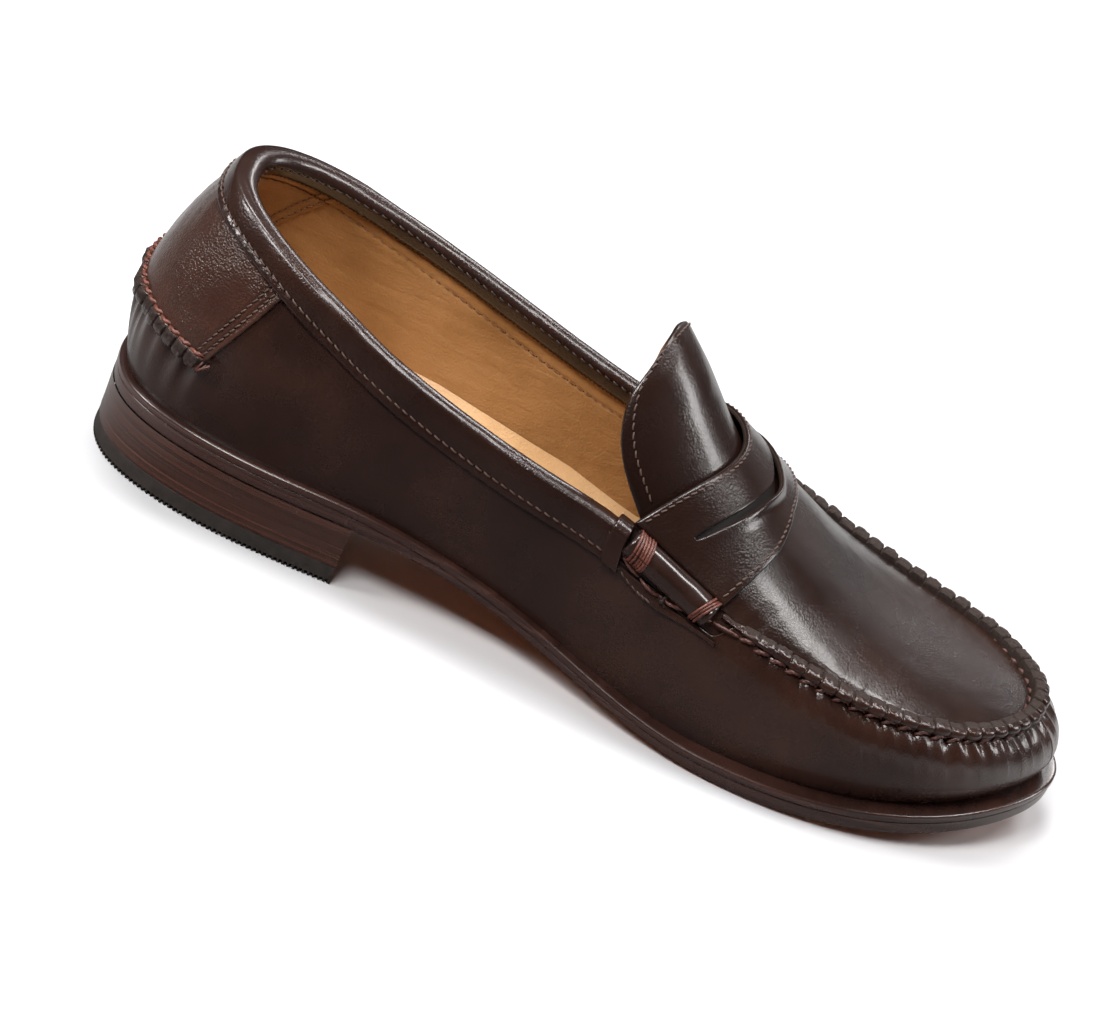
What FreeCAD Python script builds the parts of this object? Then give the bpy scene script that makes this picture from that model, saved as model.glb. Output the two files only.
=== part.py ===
import FreeCAD
import Part
import math
import os

from FreeCAD import Placement, Rotation, Vector

# Penny loafer for the right foot, in millimetres. While it is built, +X runs from the back of the heel
# to the toe, -Y is the outer (lateral) side, +Z is up and the ground is z = 0. At the end everything is
# shifted so that the origin is the middle of the bounding box's bottom.

DIMENSIONS = {
    "heel_height": 20.0,        # ground to the underside of the outsole at the heel
    "toe_spring": 12.0,         # ground to the underside of the outsole at the toe
    "waist_bevel": 1.8,         # how much thinner the outsole is in the waist
    "outsole_thickness": 4.4,
    "welt_thickness": 2.6,
    "insole_thickness": 2.5,
    "foam_thickness": 1.4,
    "sock_thickness": 1.2,
    "filler_thickness": 2.4,
    "shank_thickness": 1.2,
    "lift_thickness": 3.5,
    "top_piece_thickness": 6.0,
    "nail_radius": 0.9,
    "nail_length": 14.0,
    "leather_thickness": 1.6,
    "strap_thickness": 1.5,
    "lining_thickness": 1.0,
    "stiffener_thickness": 0.8,
    "collar_width": 13.0,
    "roll_length": 31.0,
    "roll_radius": 4.0,
    "roll_filler_radius": 2.6,
    "wrap_thread_radius": 0.6,
}

doc = FreeCAD.newDocument("penny_loafer")
sheet = doc.addObject("Spreadsheet::Sheet", "dims")
for row, (alias, value) in enumerate(DIMENSIONS.items(), start=1):
    sheet.set("A%d" % row, alias)
    sheet.set("B%d" % row, str(value))
    sheet.setAlias("B%d" % row, alias)
doc.recompute()


def size(alias):
    """The value of one driving dimension, read from the sheet."""
    return float(sheet.get(alias))


# ---------------------------------------------------------------- rails
# Twenty stations run round the shoe: 0 is the back of the heel, 5 the outer end of the mouth,
# 10 the toe and 15 the inner end of the mouth.
STATIONS = 20
TOE = 10

SOLE_OUTLINE = [
    (-4, 0), (5, -24), (37, -36), (80, -36.5), (125, -35.5),
    (160, -42), (195, -49), (235, -47.5), (268, -35), (290, -15.5),
    (298, 6), (288, 27.5), (263, 43), (215, 56), (175, 47),
    (145, 34.5), (110, 28), (75, 29), (37, 33), (6, 23.5),
]
# The topline round the mouth, then the apron seam over the forefoot.
TOP_RAIL = [
    (13, 1, 97.5), (19, -13, 95.5), (44, -25.5, 85.5), (80, -30.5, 72), (122, -33, 63),
    (151, -36.5, 59.5), (185, -41, 49), (222, -42, 41), (256, -33.5, 37.5), (277, -15, 37.5),
    (283, 7, 38), (271, 27, 37), (246, 38.5, 37), (206, 44, 43), (181, 41, 53),
    (149, 35.5, 62), (120, 32.5, 69.5), (81, 31, 80.5), (42, 27, 91), (17, 15, 97),
]


class Spline:
    """A cubic spline through points at the whole-number parameters 0, 1, 2 ..."""

    def __init__(self, points, closed=False):
        self.points = [tuple(p) if isinstance(p, (tuple, list)) else (p,) for p in points]
        self.closed = closed
        count = len(self.points)
        width = len(self.points[0])
        self.bend = [[0.0] * width for _ in range(count)]
        free = range(count) if closed else range(1, count - 1)
        for _ in range(40):
            for i in free:
                before, here, after = self.points[i - 1], self.points[i], self.points[(i + 1) % count]
                for k in range(width):
                    force = 6 * (before[k] - 2 * here[k] + after[k])
                    self.bend[i][k] = (force - self.bend[i - 1][k] - self.bend[(i + 1) % count][k]) / 4

    def __call__(self, t):
        count = len(self.points)
        i = math.floor(t) if self.closed else max(0, min(count - 2, math.floor(t)))
        b = t - i
        a = 1 - b
        i, j = i % count, (i + 1) % count
        value = [a * p + b * q + ((a ** 3 - a) * m + (b ** 3 - b) * n) / 6
                 for p, q, m, n in zip(self.points[i], self.points[j], self.bend[i], self.bend[j])]
        return value[0] if len(value) == 1 else Vector(*value)


def smoothstep(low, high, x):
    t = max(0.0, min(1.0, (x - low) / (high - low)))
    return t * t * (3 - 2 * t)


def spread(low, high, count):
    """count values from low to high, both included."""
    return [low + (high - low) * i / (count - 1) for i in range(count)]


sole_rail = Spline([(x, y, 0) for x, y in SOLE_OUTLINE], closed=True)
top_rail = Spline(TOP_RAIL, closed=True)


def ground_height(x):
    """Height of the outsole's underside: flat heel seat, waist, ball on the ground, toe spring."""
    waist_start, ball, toe = 70, 198, 298
    rise = max(0.0, (x - ball) / (toe - ball))
    return size("heel_height") * (1 - smoothstep(waist_start, ball, x)) + size("toe_spring") * rise ** 2


def waist_bevel(x):
    """How far the outsole's underside is pared away in the waist."""
    return size("waist_bevel") * smoothstep(72, 120, x) * (1 - smoothstep(170, 225, x))


def outward(station):
    """Level unit vector that points out of the sole's outline."""
    along = sole_rail(station + 0.05) - sole_rail(station - 0.05)
    return Vector(along.y, -along.x, 0).normalize()


def ledge(x):
    """How far the welt stands out past the upper: narrow at the heel, wide round the forefoot."""
    return 2 + 4 / (1 + math.exp(-(x - 165) / 18))


def feather(station):
    """Where the upper meets the welt."""
    clearance = 0.15
    edge = sole_rail(station)
    point = edge - outward(station) * ledge(edge.x)
    point.z = ground_height(point.x) + size("outsole_thickness") + size("welt_thickness") + clearance
    return point


LIP_HEIGHT = 3.2        # the upstanding lip of the apron seam
LIP_SHARE = 0.12        # the lip's share of the height parameter above 1


def wall_point(station, height):
    """The outside of the moccasin wall. height is 0 at the welt and 1 at the top rail; above 1 it
    climbs the upstanding lip of the apron seam."""
    low, top, out = feather(station), top_rail(station), outward(station)
    front = smoothstep(140, 235, top.x)
    heel = 1 - smoothstep(20, 60, top.x)
    tall = top.z - low.z
    belly = low + out * (3 + 3.5 * front + 5 * heel) + Vector(0, 0, tall * 0.38)
    shoulder = top + out * (4 + 6 * front + 11 * heel) - Vector(0, 0, tall * (0.36 - 0.26 * front))
    b = min(height, 1.0)
    a = 1 - b
    point = low * a ** 3 + belly * (3 * a * a * b) + shoulder * (3 * a * b * b) + top * b ** 3
    if height > 1:
        point += Vector(0, 0, LIP_HEIGHT * (height - 1) / LIP_SHARE)
    return point


def surface_normal(surface, u, v, du, dv):
    across_u = surface(u + du, v) - surface(u - du, v)
    across_v = surface(u, v + dv) - surface(u, v - dv)
    return across_u.cross(across_v).normalize()


def wall_layer(station, height, depth):
    """A point depth millimetres inside the wall's outer face, or outside it if depth is negative."""
    normal = surface_normal(wall_point, station, height, 0.12, 0.03)
    return wall_point(station, height) - normal * depth


# ---------------------------------------------------------------- apron and tongue surface
FRONT_ARC = 1.3         # stations each side of the toe that the apron's front row takes
THROAT = 5              # stations from the toe to the tongue's root

# Heights and forward bows of the arched rows, evenly spaced from the toe seam to the tongue's root and
# from there to the tongue's tip.
apron_crown = Spline([0, 4, 7, 10, 12.5, 17])
apron_bow = Spline([0, 12, 12, 12, 14, 22])
tongue_edge_outer = Spline([
    (152, -32, 63), (143.5, -30, 73), (138.5, -27, 81.5), (136, -21.5, 91), (137, -13, 99.5)])
tongue_edge_inner = Spline([
    (150, 31.5, 64), (143.5, 30, 73.5), (141, 27.5, 81), (141.5, 23, 88.5), (142.5, 17, 96)])
tongue_crown = Spline([14, 13, 11.5, 9, 7.5])
tongue_bow = Spline([21.5, 19.5, 16.5, 10.5, 1.5])


def arched(left, right, side, bow, crown, fullness):
    """A point on a row that arches from left to right; side is -1 at left and 1 at right."""
    chord = left * ((1 - side) / 2) + right * ((1 + side) / 2)
    arch = (1 - side ** 2) * (1 + fullness * side ** 2)
    return chord + Vector(bow * (1 - side ** 2), 0, crown * arch)


def apron_point(back, side):
    """The top of the apron. back is 0 at the toe seam and 1 at the tongue's root."""
    reach = FRONT_ARC + (THROAT - FRONT_ARC) * back
    left, right = top_rail(TOE - reach), top_rail(TOE + reach)
    arc_ends = top_rail(TOE - FRONT_ARC), top_rail(TOE + FRONT_ARC)
    arc = top_rail(TOE + FRONT_ARC * side)
    arc_dip = arc - arc_ends[0] * ((1 - side) / 2) - arc_ends[1] * ((1 + side) / 2)
    settle = smoothstep(0, 0.3, back)
    bow, crown = apron_bow(5 * back) * settle, apron_crown(5 * back)
    row = arched(left, right, side, bow, crown, 0.2 + 0.5 * back)
    return row + arc_dip * (1 - settle)


def tongue_point(rise, side):
    """The top of the tongue. rise is 0 at its root and 1 at its tip."""
    left, right = tongue_edge_outer(4 * rise), tongue_edge_inner(4 * rise)
    bow, crown = tongue_bow(4 * rise), tongue_crown(4 * rise)
    return arched(left, right, side, bow, crown, 0.7 - 0.4 * rise)


def layer_of(surface):
    """The same surface sunk by a depth along its normal."""
    def point(u, v, depth):
        return surface(u, v) + surface_normal(surface, u, v, 0.02, 0.04) * depth
    return point


apron_layer = layer_of(apron_point)
tongue_layer = layer_of(tongue_point)


# ---------------------------------------------------------------- shells
def clamped_knots(count, degree):
    knots = list(range(count - degree + 1))
    return knots, [degree + 1] + [1] * (len(knots) - 2) + [degree + 1]


def smooth_face(rows):
    """A spline face whose control net is rows; it is ruled across when there are only two rows."""
    u_degree = min(3, len(rows) - 1)
    v_degree = min(3, len(rows[0]) - 1)
    u_knots, u_mults = clamped_knots(len(rows), u_degree)
    v_knots, v_mults = clamped_knots(len(rows[0]), v_degree)
    face = Part.BSplineSurface()
    face.buildFromPolesMultsKnots(rows, u_mults, v_mults, u_knots, v_knots, False, False, u_degree, v_degree)
    return face.toShape()


def shell_solid(outer, inner):
    """A closed leather shell between two equal nets of points."""
    pairs = [(outer[0], inner[0]), (outer[-1], inner[-1])]
    pairs += [([row[k] for row in outer], [row[k] for row in inner]) for k in (0, -1)]
    faces = [smooth_face(outer), smooth_face(inner)] + [smooth_face([list(a), list(b)]) for a, b in pairs]
    skin = Part.makeCompound(faces)
    skin.sewShape()
    solid = Part.Solid(skin.Shells[0])
    if solid.Volume < 0:
        solid.reverse()
    return solid


def layered(layer, u_values, v_values, face_depth, thickness):
    """A shell that follows layer; v_values may be a function of u."""
    def net(depth):
        return [[layer(u, v, depth) for v in (v_values(u) if callable(v_values) else v_values)]
                for u in u_values]
    return shell_solid(net(face_depth), net(face_depth + thickness))


def add_feature(name, shape):
    feature = doc.addObject("Part::Feature", name)
    feature.Label = name
    feature.Shape = shape
    nodes.append(feature)
    return feature


nodes = []


# ---------------------------------------------------------------- sole plates
def origin_plane(body, role):
    return [plane for plane in body.Origin.OriginFeatures if plane.Role == role][0]


def add_sketch(body, name, role, curves):
    sketch = body.newObject("Sketcher::SketchObject", name)
    sketch.AttachmentSupport = [(origin_plane(body, role), "")]
    sketch.MapMode = "FlatFace"
    for curve in curves:
        sketch.addGeometry(curve, False)
    return sketch


def add_body(name):
    body = doc.addObject("PartDesign::Body", name)
    body.Label = name
    nodes.append(body)
    return body


def add_pad(body, sketch, length=None, expression=None):
    pad = body.newObject("PartDesign::Pad", body.Name + "_pad")
    pad.Profile = sketch
    if expression:
        pad.setExpression("Length", expression)
    else:
        pad.Length = length
    return pad


def loop_curve(points):
    curve = Part.BSplineCurve()
    curve.interpolate(Points=points, PeriodicFlag=True)
    return curve


def inset_outline(inset):
    """The sole's outline moved inwards by inset(x), as one closed curve."""
    points = []
    for k in range(2 * STATIONS):
        edge = sole_rail(k / 2)
        points.append(edge - outward(k / 2) * inset(edge.x))
    return loop_curve(points)


def side_region(limit, pared):
    """The region between the sole's side profile and the level limit, in the XZ plane. The profile
    includes the bevel of the waist if pared is true."""
    back, front = -20.0, 320.0
    profile = []
    for x in spread(back, front, 69):
        bevel = waist_bevel(x) if pared else 0
        profile.append(Vector(x, ground_height(x) + bevel, 0))
    curve = Part.BSplineCurve()
    curve.interpolate(profile)
    corners = [profile[-1], Vector(front, limit, 0), Vector(back, limit, 0), profile[0]]
    return [curve] + [Part.LineSegment(a, b) for a, b in zip(corners, corners[1:])]


def curved_plate(name, curves, base, thickness, pared=False):
    """A plate with the given plan whose underside lies base above the sole's underside. base and
    thickness are expressions of the sheet."""
    blank_base, blank_height = -10.0, 70.0
    body = add_body(name)
    plan = add_sketch(body, name + "_plan", "XY_Plane", curves)
    plan.AttachmentOffset = Placement(Vector(0, 0, blank_base), Rotation())
    add_pad(body, plan, length=blank_height)
    cuts = [
        ("under", side_region(-90.0, pared), base),
        ("over", side_region(120.0, False), base + " + " + thickness),
    ]
    for label, outline, offset in cuts:
        region = add_sketch(body, name + "_" + label, "XZ_Plane", outline)
        region.setExpression("AttachmentOffset.Base.y", offset)
        pocket = body.newObject("PartDesign::Pocket", name + "_cut_" + label)
        pocket.Profile = region
        pocket.Type = "ThroughAll"
        pocket.Midplane = True
    return body


def waist_strip(x_start, x_end, half_width):
    """A strip with round ends along the middle of the sole, for the shank."""
    middle = -4.0
    near, far = middle - half_width, middle + half_width
    ends = [(x_start, 1), (x_end, -1)]
    arcs = [Part.Arc(Vector(x + way * half_width, near, 0), Vector(x, middle, 0),
                     Vector(x + way * half_width, far, 0)) for x, way in ends]
    sides = [Part.LineSegment(Vector(x_start + half_width, y, 0), Vector(x_end - half_width, y, 0))
             for y in (near, far)]
    return arcs + sides


def build_bottom():
    upper_stack = 4.2       # from the wall's outer face to just inside the linings, at the feather
    welt_overhang = 0.3
    welt_width = 14.0
    outsole_plan = inset_outline(lambda x: welt_overhang)
    welt_plans = [inset_outline(lambda x: -welt_overhang), inset_outline(lambda x: welt_width)]
    filler_plan = forefoot_plan(welt_width + 0.4)
    shank_plan = waist_strip(44, 158, 7)
    curved_plate("outsole", [outsole_plan], "0", "dims.outsole_thickness", pared=True)
    curved_plate("welt_rand", welt_plans, "dims.outsole_thickness", "dims.welt_thickness")
    curved_plate("cork_filler", filler_plan, "dims.outsole_thickness", "dims.filler_thickness")
    curved_plate("shank", shank_plan, "dims.outsole_thickness", "dims.shank_thickness")
    stack = "dims.outsole_thickness + dims.welt_thickness"
    inner_plan = inset_outline(lambda x: ledge(x) + upper_stack)
    curved_plate("insole_board", [inner_plan], stack, "dims.insole_thickness")
    stack += " + dims.insole_thickness"
    curved_plate("sock_foam", [inner_plan], stack, "dims.foam_thickness")
    stack += " + dims.foam_thickness"
    curved_plate("sock_liner", [inner_plan], stack, "dims.sock_thickness")


def forefoot_plan(inset):
    """The filler's plan: the sole's outline moved in, from the waist to the toe."""
    stations = spread(5.6, 14.6, 19)
    points = [sole_rail(s) - outward(s) * inset for s in stations]
    curve = Part.BSplineCurve()
    curve.interpolate(points)
    return [curve, Part.LineSegment(points[-1], points[0])]


NAILS = [(14, 0), (28, -20), (28, 18), (56, -24), (56, 19)]


def heel_plan(inset, with_nails):
    """The heel's plan: the sole's outline back from the breast, which is a shallow hollow arc."""
    breast_hollow = 4.0
    points = [sole_rail(s) - outward(s) * inset for s in spread(-3, 3, 13)]
    curve = Part.BSplineCurve()
    curve.interpolate(points)
    middle = (points[0] + points[-1]) * 0.5 - Vector(breast_hollow, 0, 0)
    curves = [curve, Part.Arc(points[-1], middle, points[0])]
    if with_nails:
        curves += [Part.Circle(Vector(x, y, 0), Vector(0, 0, 1), size("nail_radius")) for x, y in NAILS]
    return curves


def build_heel():
    top_piece = add_body("heel_top_piece")
    plan = add_sketch(top_piece, "heel_top_piece_plan", "XY_Plane", heel_plan(0.6, False))
    add_pad(top_piece, plan, expression="dims.top_piece_thickness")
    lifts = 4
    for k in range(lifts):
        lift = add_body("heel_lift_%d" % (k + 1))
        inset = 0.6 - 0.1 * k
        plan = add_sketch(lift, lift.Name + "_plan", "XY_Plane", heel_plan(inset, True))
        add_pad(lift, plan, expression="dims.lift_thickness")
        lift.setExpression("Placement.Base.z", "dims.top_piece_thickness + %d * dims.lift_thickness" % k)
    nails = []
    for k, (x, y) in enumerate(NAILS):
        nail = doc.addObject("Part::Cylinder", "nail_%d" % k)
        nail.setExpression("Radius", "dims.nail_radius")
        nail.setExpression("Height", "dims.nail_length")
        nail.setExpression("Placement.Base.z", "dims.top_piece_thickness")
        nail.Placement.Base = Vector(x, y, size("top_piece_thickness"))
        nails.append(nail)
    add_group("heel_nails", nails)


def add_group(name, members):
    group = doc.addObject("Part::Compound", name)
    group.Label = name
    group.Links = members
    nodes.append(group)


# ---------------------------------------------------------------- upper
TOPLINE_END = 0.945     # the leathers stop here, under the fold of the collar
ROLL_SHELF = 0.80       # the wall is cut down to here beside the beef rolls
SHELF = 0.2             # air between neighbouring leathers


def from_heel(station):
    """Stations between this one and the back of the heel, the shorter way round."""
    return min(station % STATIONS, STATIONS - station % STATIONS)


def roll_gap(station):
    """1 beside the beef rolls, where the leathers are cut down, 0 elsewhere."""
    distance = from_heel(station)
    return smoothstep(4.85, 5.05, distance) * (1 - smoothstep(5.95, 6.2, distance))


def wall_end(station):
    """How high the wall reaches: under the collar round the mouth, to the seam under the beef rolls
    and up the lip round the forefoot."""
    distance = from_heel(station)
    uncut = TOPLINE_END + (1 + LIP_SHARE - TOPLINE_END) * smoothstep(5.95, 6.2, distance)
    return uncut + (ROLL_SHELF - uncut) * roll_gap(station)


def vamp_lining_end(station):
    """How high the vamp lining reaches: to the apron seam, and lower beside the beef rolls."""
    return 0.93 + (ROLL_SHELF - 0.03 - 0.93) * roll_gap(station)


def steps_to(top, low=0.0, count=19):
    return lambda station: spread(low, top(station) if callable(top) else top, count)


def build_wall():
    back_seam = 0.03
    thickness = size("leather_thickness")
    stations = spread(back_seam, STATIONS - back_seam, 141)
    add_feature("moccasin_wall", layered(wall_layer, stations, steps_to(wall_end), 0, thickness))


def build_linings():
    leather, lining, stiff = size("leather_thickness"), size("lining_thickness"), size("stiffener_thickness")
    stiff_face = leather + SHELF
    lining_face = stiff_face + stiff + SHELF
    pieces = [
        ("toe_puff", 7.6, 12.4, 0.05, 0.9, stiff_face, stiff),
        ("heel_counter", -3.0, 3.0, 0.03, 0.62, stiff_face, stiff),
        ("vamp_lining", 5.02, 14.98, 0.03, vamp_lining_end, lining_face, lining),
        ("quarter_lining_lateral", 1.87, 4.98, 0.03, TOPLINE_END, lining_face, lining),
        ("quarter_lining_medial", 15.02, 18.13, 0.03, TOPLINE_END, lining_face, lining),
        ("heel_lining", -1.83, 1.83, 0.03, TOPLINE_END, lining_face, lining),
        ("back_stay", -0.3, 0.3, 0.64, TOPLINE_END, stiff_face, stiff),
    ]
    for name, first, last, low, high, depth, thickness in pieces:
        stations = spread(first, last, 6 + int(7 * (last - first)))
        heights = steps_to(high, low, 12)
        add_feature(name, layered(wall_layer, stations, heights, depth, thickness))


def collar_start(station):
    """Height parameter of the collar's lower edge, a collar's width below the topline."""
    rail = top_rail(station)
    low = 1.0
    while (wall_point(station, low) - rail).Length < size("collar_width"):
        low -= 0.005
    return low


def patch_cover(station):
    """1 where the heel patch lies under the collar, 0 where it does not."""
    return 1 - smoothstep(1.95, 2.4, abs(station))


def collar_section(station, skin):
    """Points across the collar: up the outside of the band, over the fold, down inside the mouth.
    skin is 0 for its outer face and 1 for its inner face."""
    leather = 1.2
    face = leather * (1 - skin)
    lap = SHELF + (leather - 0.1) * patch_cover(station) + face
    section = [wall_layer(station, h, -lap) for h in spread(collar_start(station), TOPLINE_END, 7)]
    out = surface_normal(wall_point, station, TOPLINE_END, 0.12, 0.03)
    up = (wall_point(station, 1.0) - wall_point(station, 0.9)).normalize()
    half_stack = 2.0        # half of the wall and lining that the fold goes over
    centre = wall_point(station, TOPLINE_END) - out * half_stack
    fold = half_stack + SHELF + face
    tall = 1.4 + face
    for turn in spread(18, 162, 9):
        angle = math.radians(turn)
        wide = fold + 0.3 if turn < 90 else fold
        section.append(centre + out * (wide * math.cos(angle)) + up * (tall * math.sin(angle)))
    for drop in (1.5, 3.5):
        section.append(centre - out * fold - up * drop)
    return section


def build_collar():
    stations = spread(-4.92, 4.92, 97)
    outer = [collar_section(s, 0) for s in stations]
    inner = [collar_section(s, 1) for s in stations]
    add_feature("topline_collar", shell_solid(outer, inner))


def patch_foot(share):
    """Lower edge of the heel patch: nearly level, a little lower at its two front corners."""
    return 0.385 - 0.035 * share ** 2


def patch_layer(share, rise, depth):
    """share runs from -1 to 1 round the heel, rise from 0 at the sewn foot to 1 under the collar."""
    corner_station, head_station = 1.6, 1.85
    station = share * (corner_station + (head_station - corner_station) * rise)
    height = patch_foot(share) + (TOPLINE_END - 0.02 - patch_foot(share)) * rise
    return wall_layer(station, height, depth)


def build_patch():
    leather = 0.9
    patch = layered(patch_layer, spread(-1, 1, 41), spread(0, 1, 12), -SHELF - leather, leather)
    add_feature("heel_patch", patch)


def build_apron():
    edge, lining_edge = 0.92, 0.87      # both stop short of the wall's lip
    leather, lining = size("leather_thickness"), size("lining_thickness")
    rows, sides = spread(0.035, 0.985, 45), spread(-edge, edge, 25)
    add_feature("apron", layered(apron_layer, rows, sides, 0, leather))
    rows, sides = spread(0.08, 0.97, 41), spread(-lining_edge, lining_edge, 23)
    add_feature("apron_lining", layered(apron_layer, rows, sides, leather + SHELF, lining))


def tongue_sides(margin):
    """The tongue's half width in each row, drawn in towards the tip to round its corners."""
    def sides(rise):
        half = (1 - margin) * (1 - 0.3 * smoothstep(0.7, 1.05, rise))
        return spread(-half, half, 25)
    return sides


def build_tongue():
    leather = 1.4
    add_feature("tongue", layered(tongue_layer, spread(0.03, 1, 23), tongue_sides(0.04), 0, leather))
    rises, depth = spread(0.05, 0.98, 23), leather + SHELF
    lining = layered(tongue_layer, rises, tongue_sides(0.07), depth, size("lining_thickness"))
    add_feature("tongue_lining", lining)


def strap_front(side):
    """Where the strap's lower edge lies: nearly straight, with a shallow notch on the centre line."""
    notch_depth, half_notch = 0.02, 0.5
    notch = notch_depth * max(0.0, 1 - abs(side) / half_notch)
    return 0.733 + 0.005 * abs(side) + notch


def strap_layer(share, side, depth):
    """share is 0 at the strap's lower edge and 1 at its upper edge, at the tongue's root."""
    front = strap_front(side)
    return apron_layer(front + (1.0 - front) * share, side, depth)


def slot_layer(offset, side, depth):
    """The line of the strap's slot, nearer to the lower edge in the middle than at its ends."""
    return strap_layer(0.40 + 0.2 * abs(side) + offset, side, depth)


def build_strap():
    half_strap, half_slot, slot_gap = 0.97, 0.84, 0.055
    thickness, cutter_reach = size("strap_thickness"), 3.0
    face = -SHELF - thickness
    band = layered(strap_layer, spread(0, 1, 15), spread(-half_strap, half_strap, 41), face, thickness)
    offsets, sides = spread(-slot_gap, slot_gap, 5), spread(-half_slot, half_slot, 41)
    slot = layered(slot_layer, offsets, sides, face - cutter_reach, thickness + cutter_reach + 0.4)
    add_feature("saddle_strap", band.cut(slot))


def roll_frame(first, last):
    """Placement that lays a roll along the seam between two stations, in the gap between the strap's
    end and the cut-down wall."""
    overhang, sunk = 1.5, 2.2
    start, end = top_rail(first), top_rail(last)
    along = (end - start).normalize()
    middle = (start + end) * 0.5 - Vector(0, 0, sunk)
    centre = middle + outward((first + last) / 2) * overhang
    base = centre - along * (size("roll_length") / 2)
    return Placement(base, Rotation(Vector(0, 0, 1), along))


def tab_layer(station, share, depth):
    """The strap's tab on the wall, from its lower edge to the seam; it laps over the collar's end."""
    distance = from_heel(station)
    over_collar = 1.4 * (1 - smoothstep(4.92, 5.06, distance))
    low = 0.77 - 0.07 * smoothstep(4.9, 5.3, distance) + 0.05 * smoothstep(5.4, 5.9, distance)
    high = TOPLINE_END - 0.02 + (ROLL_SHELF - TOPLINE_END) * smoothstep(4.85, 5.05, distance)
    return wall_layer(station, low + (high - low) * share, depth - over_collar)


def build_tab(side, first, last):
    leather = 1.0
    stations, shares = spread(first, last, 21), spread(0, 1, 7)
    add_feature("strap_tab_" + side, layered(tab_layer, stations, shares, -SHELF - leather, leather))


WRAP_SHARES = (0.06, 0.1, 0.14, 0.18, 0.9, 0.94)      # the turns' places along the roll


def build_roll(side, first, last):
    frame = roll_frame(first, last)
    roll = add_body("beef_roll_" + side)
    radii = size("roll_radius"), size("roll_filler_radius")
    rings = [Part.Circle(Vector(), Vector(0, 0, 1), radius) for radius in radii]
    sketch = add_sketch(roll, roll.Name + "_ring", "XY_Plane", rings)
    add_pad(roll, sketch, expression="dims.roll_length")
    roll.Placement = frame
    filler = doc.addObject("Part::Cylinder", "roll_filler_" + side)
    filler.Label = filler.Name
    filler.setExpression("Radius", "dims.roll_filler_radius")
    filler.setExpression("Height", "dims.roll_length")
    filler.Placement = frame
    nodes.append(filler)
    turns = []
    for k, share in enumerate(WRAP_SHARES):
        turn = doc.addObject("Part::Torus", "wrap_%s_%d" % (side, k))
        turn.setExpression("Radius1", "dims.roll_radius + dims.wrap_thread_radius")
        turn.setExpression("Radius2", "dims.wrap_thread_radius")
        turn.Placement = frame * Placement(Vector(0, 0, share * size("roll_length")), Rotation())
        turns.append(turn)
    add_group("roll_wrap_thread_" + side, turns)


def stitch(start, end, radius):
    way = end - start
    return Part.makeCylinder(radius, way.Length, start, way)


def even_stations(first, last, count):
    """Stations from first to last that lie at equal distances along the top rail."""
    fine = spread(first, last, 400)
    travelled = [0.0]
    for a, b in zip(fine, fine[1:]):
        travelled.append(travelled[-1] + (top_rail(b) - top_rail(a)).Length)
    stations = []
    for target in spread(0, travelled[-1], count):
        k = min(range(len(fine)), key=lambda i: abs(travelled[i] - target))
        stations.append(fine[k])
    return stations


def build_seam_threads():
    thread = 0.55
    holes = even_stations(6.2, 13.8, 45)
    stitches = []
    for hole, following in zip(holes, holes[1:]):
        gap = following - hole
        near = wall_layer(hole + 0.12 * gap, 0.925, -thread - 0.2)
        far = wall_layer(following - 0.12 * gap, 0.955, -thread - 0.2)
        stitches.append(stitch(near, far, thread))
    add_feature("apron_seam_thread", Part.makeCompound(stitches))
    stitches = []
    for share in spread(-0.98, 0.98, 26):
        foot = patch_layer(share, -0.09, -thread - 0.1)
        head = patch_layer(share + 0.03, -0.02, -thread - 0.3)
        stitches.append(stitch(foot, head, thread))
    add_feature("heel_seam_thread", Part.makeCompound(stitches))


# ---------------------------------------------------------------- assembly
def failed_objects():
    bad = [o.Label for o in doc.Objects if "Invalid" in o.State or "Error" in o.State]
    bad += [n.Label for n in nodes if n.Shape.isNull() or not n.Shape.isValid() or n.Shape.Volume <= 0]
    return bad


def move_to_base():
    """Shift every sub-part so that the origin is the middle of the bounding box's bottom."""
    box = FreeCAD.BoundBox()
    for node in nodes:
        box.add(node.Shape.BoundBox)
    shift = Placement(Vector(-box.Center.x, -box.Center.y, -box.ZMin), Rotation())
    for node in nodes:
        node.Placement = shift * node.Placement
    doc.recompute()
    return box


build_bottom()
build_heel()
build_wall()
build_linings()
build_collar()
build_patch()
build_apron()
build_tongue()
build_strap()
build_tab("lateral", 4.85, 5.9)
build_tab("medial", 14.1, 15.15)
build_roll("lateral", 5.05, 5.97)
build_roll("medial", 14.9, 14.0)
build_seam_threads()
doc.recompute()

problems = failed_objects()
if problems:
    raise RuntimeError("these did not build: " + ", ".join(problems))
whole = move_to_base()
print("length %.1f width %.1f height %.1f, shifted by %.3f %.3f %.3f"
      % (whole.XLength, whole.YLength, whole.ZLength, -whole.Center.x, -whole.Center.y, -whole.ZMin))

os.makedirs("parts", exist_ok=True)
for node in nodes:
    node.Shape.exportStep("parts/%s.step" % node.Label)
    print("%-26s solids %3d  volume %9.1f" % (node.Label, len(node.Shape.Solids), node.Shape.Volume))
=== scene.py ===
import math

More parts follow.
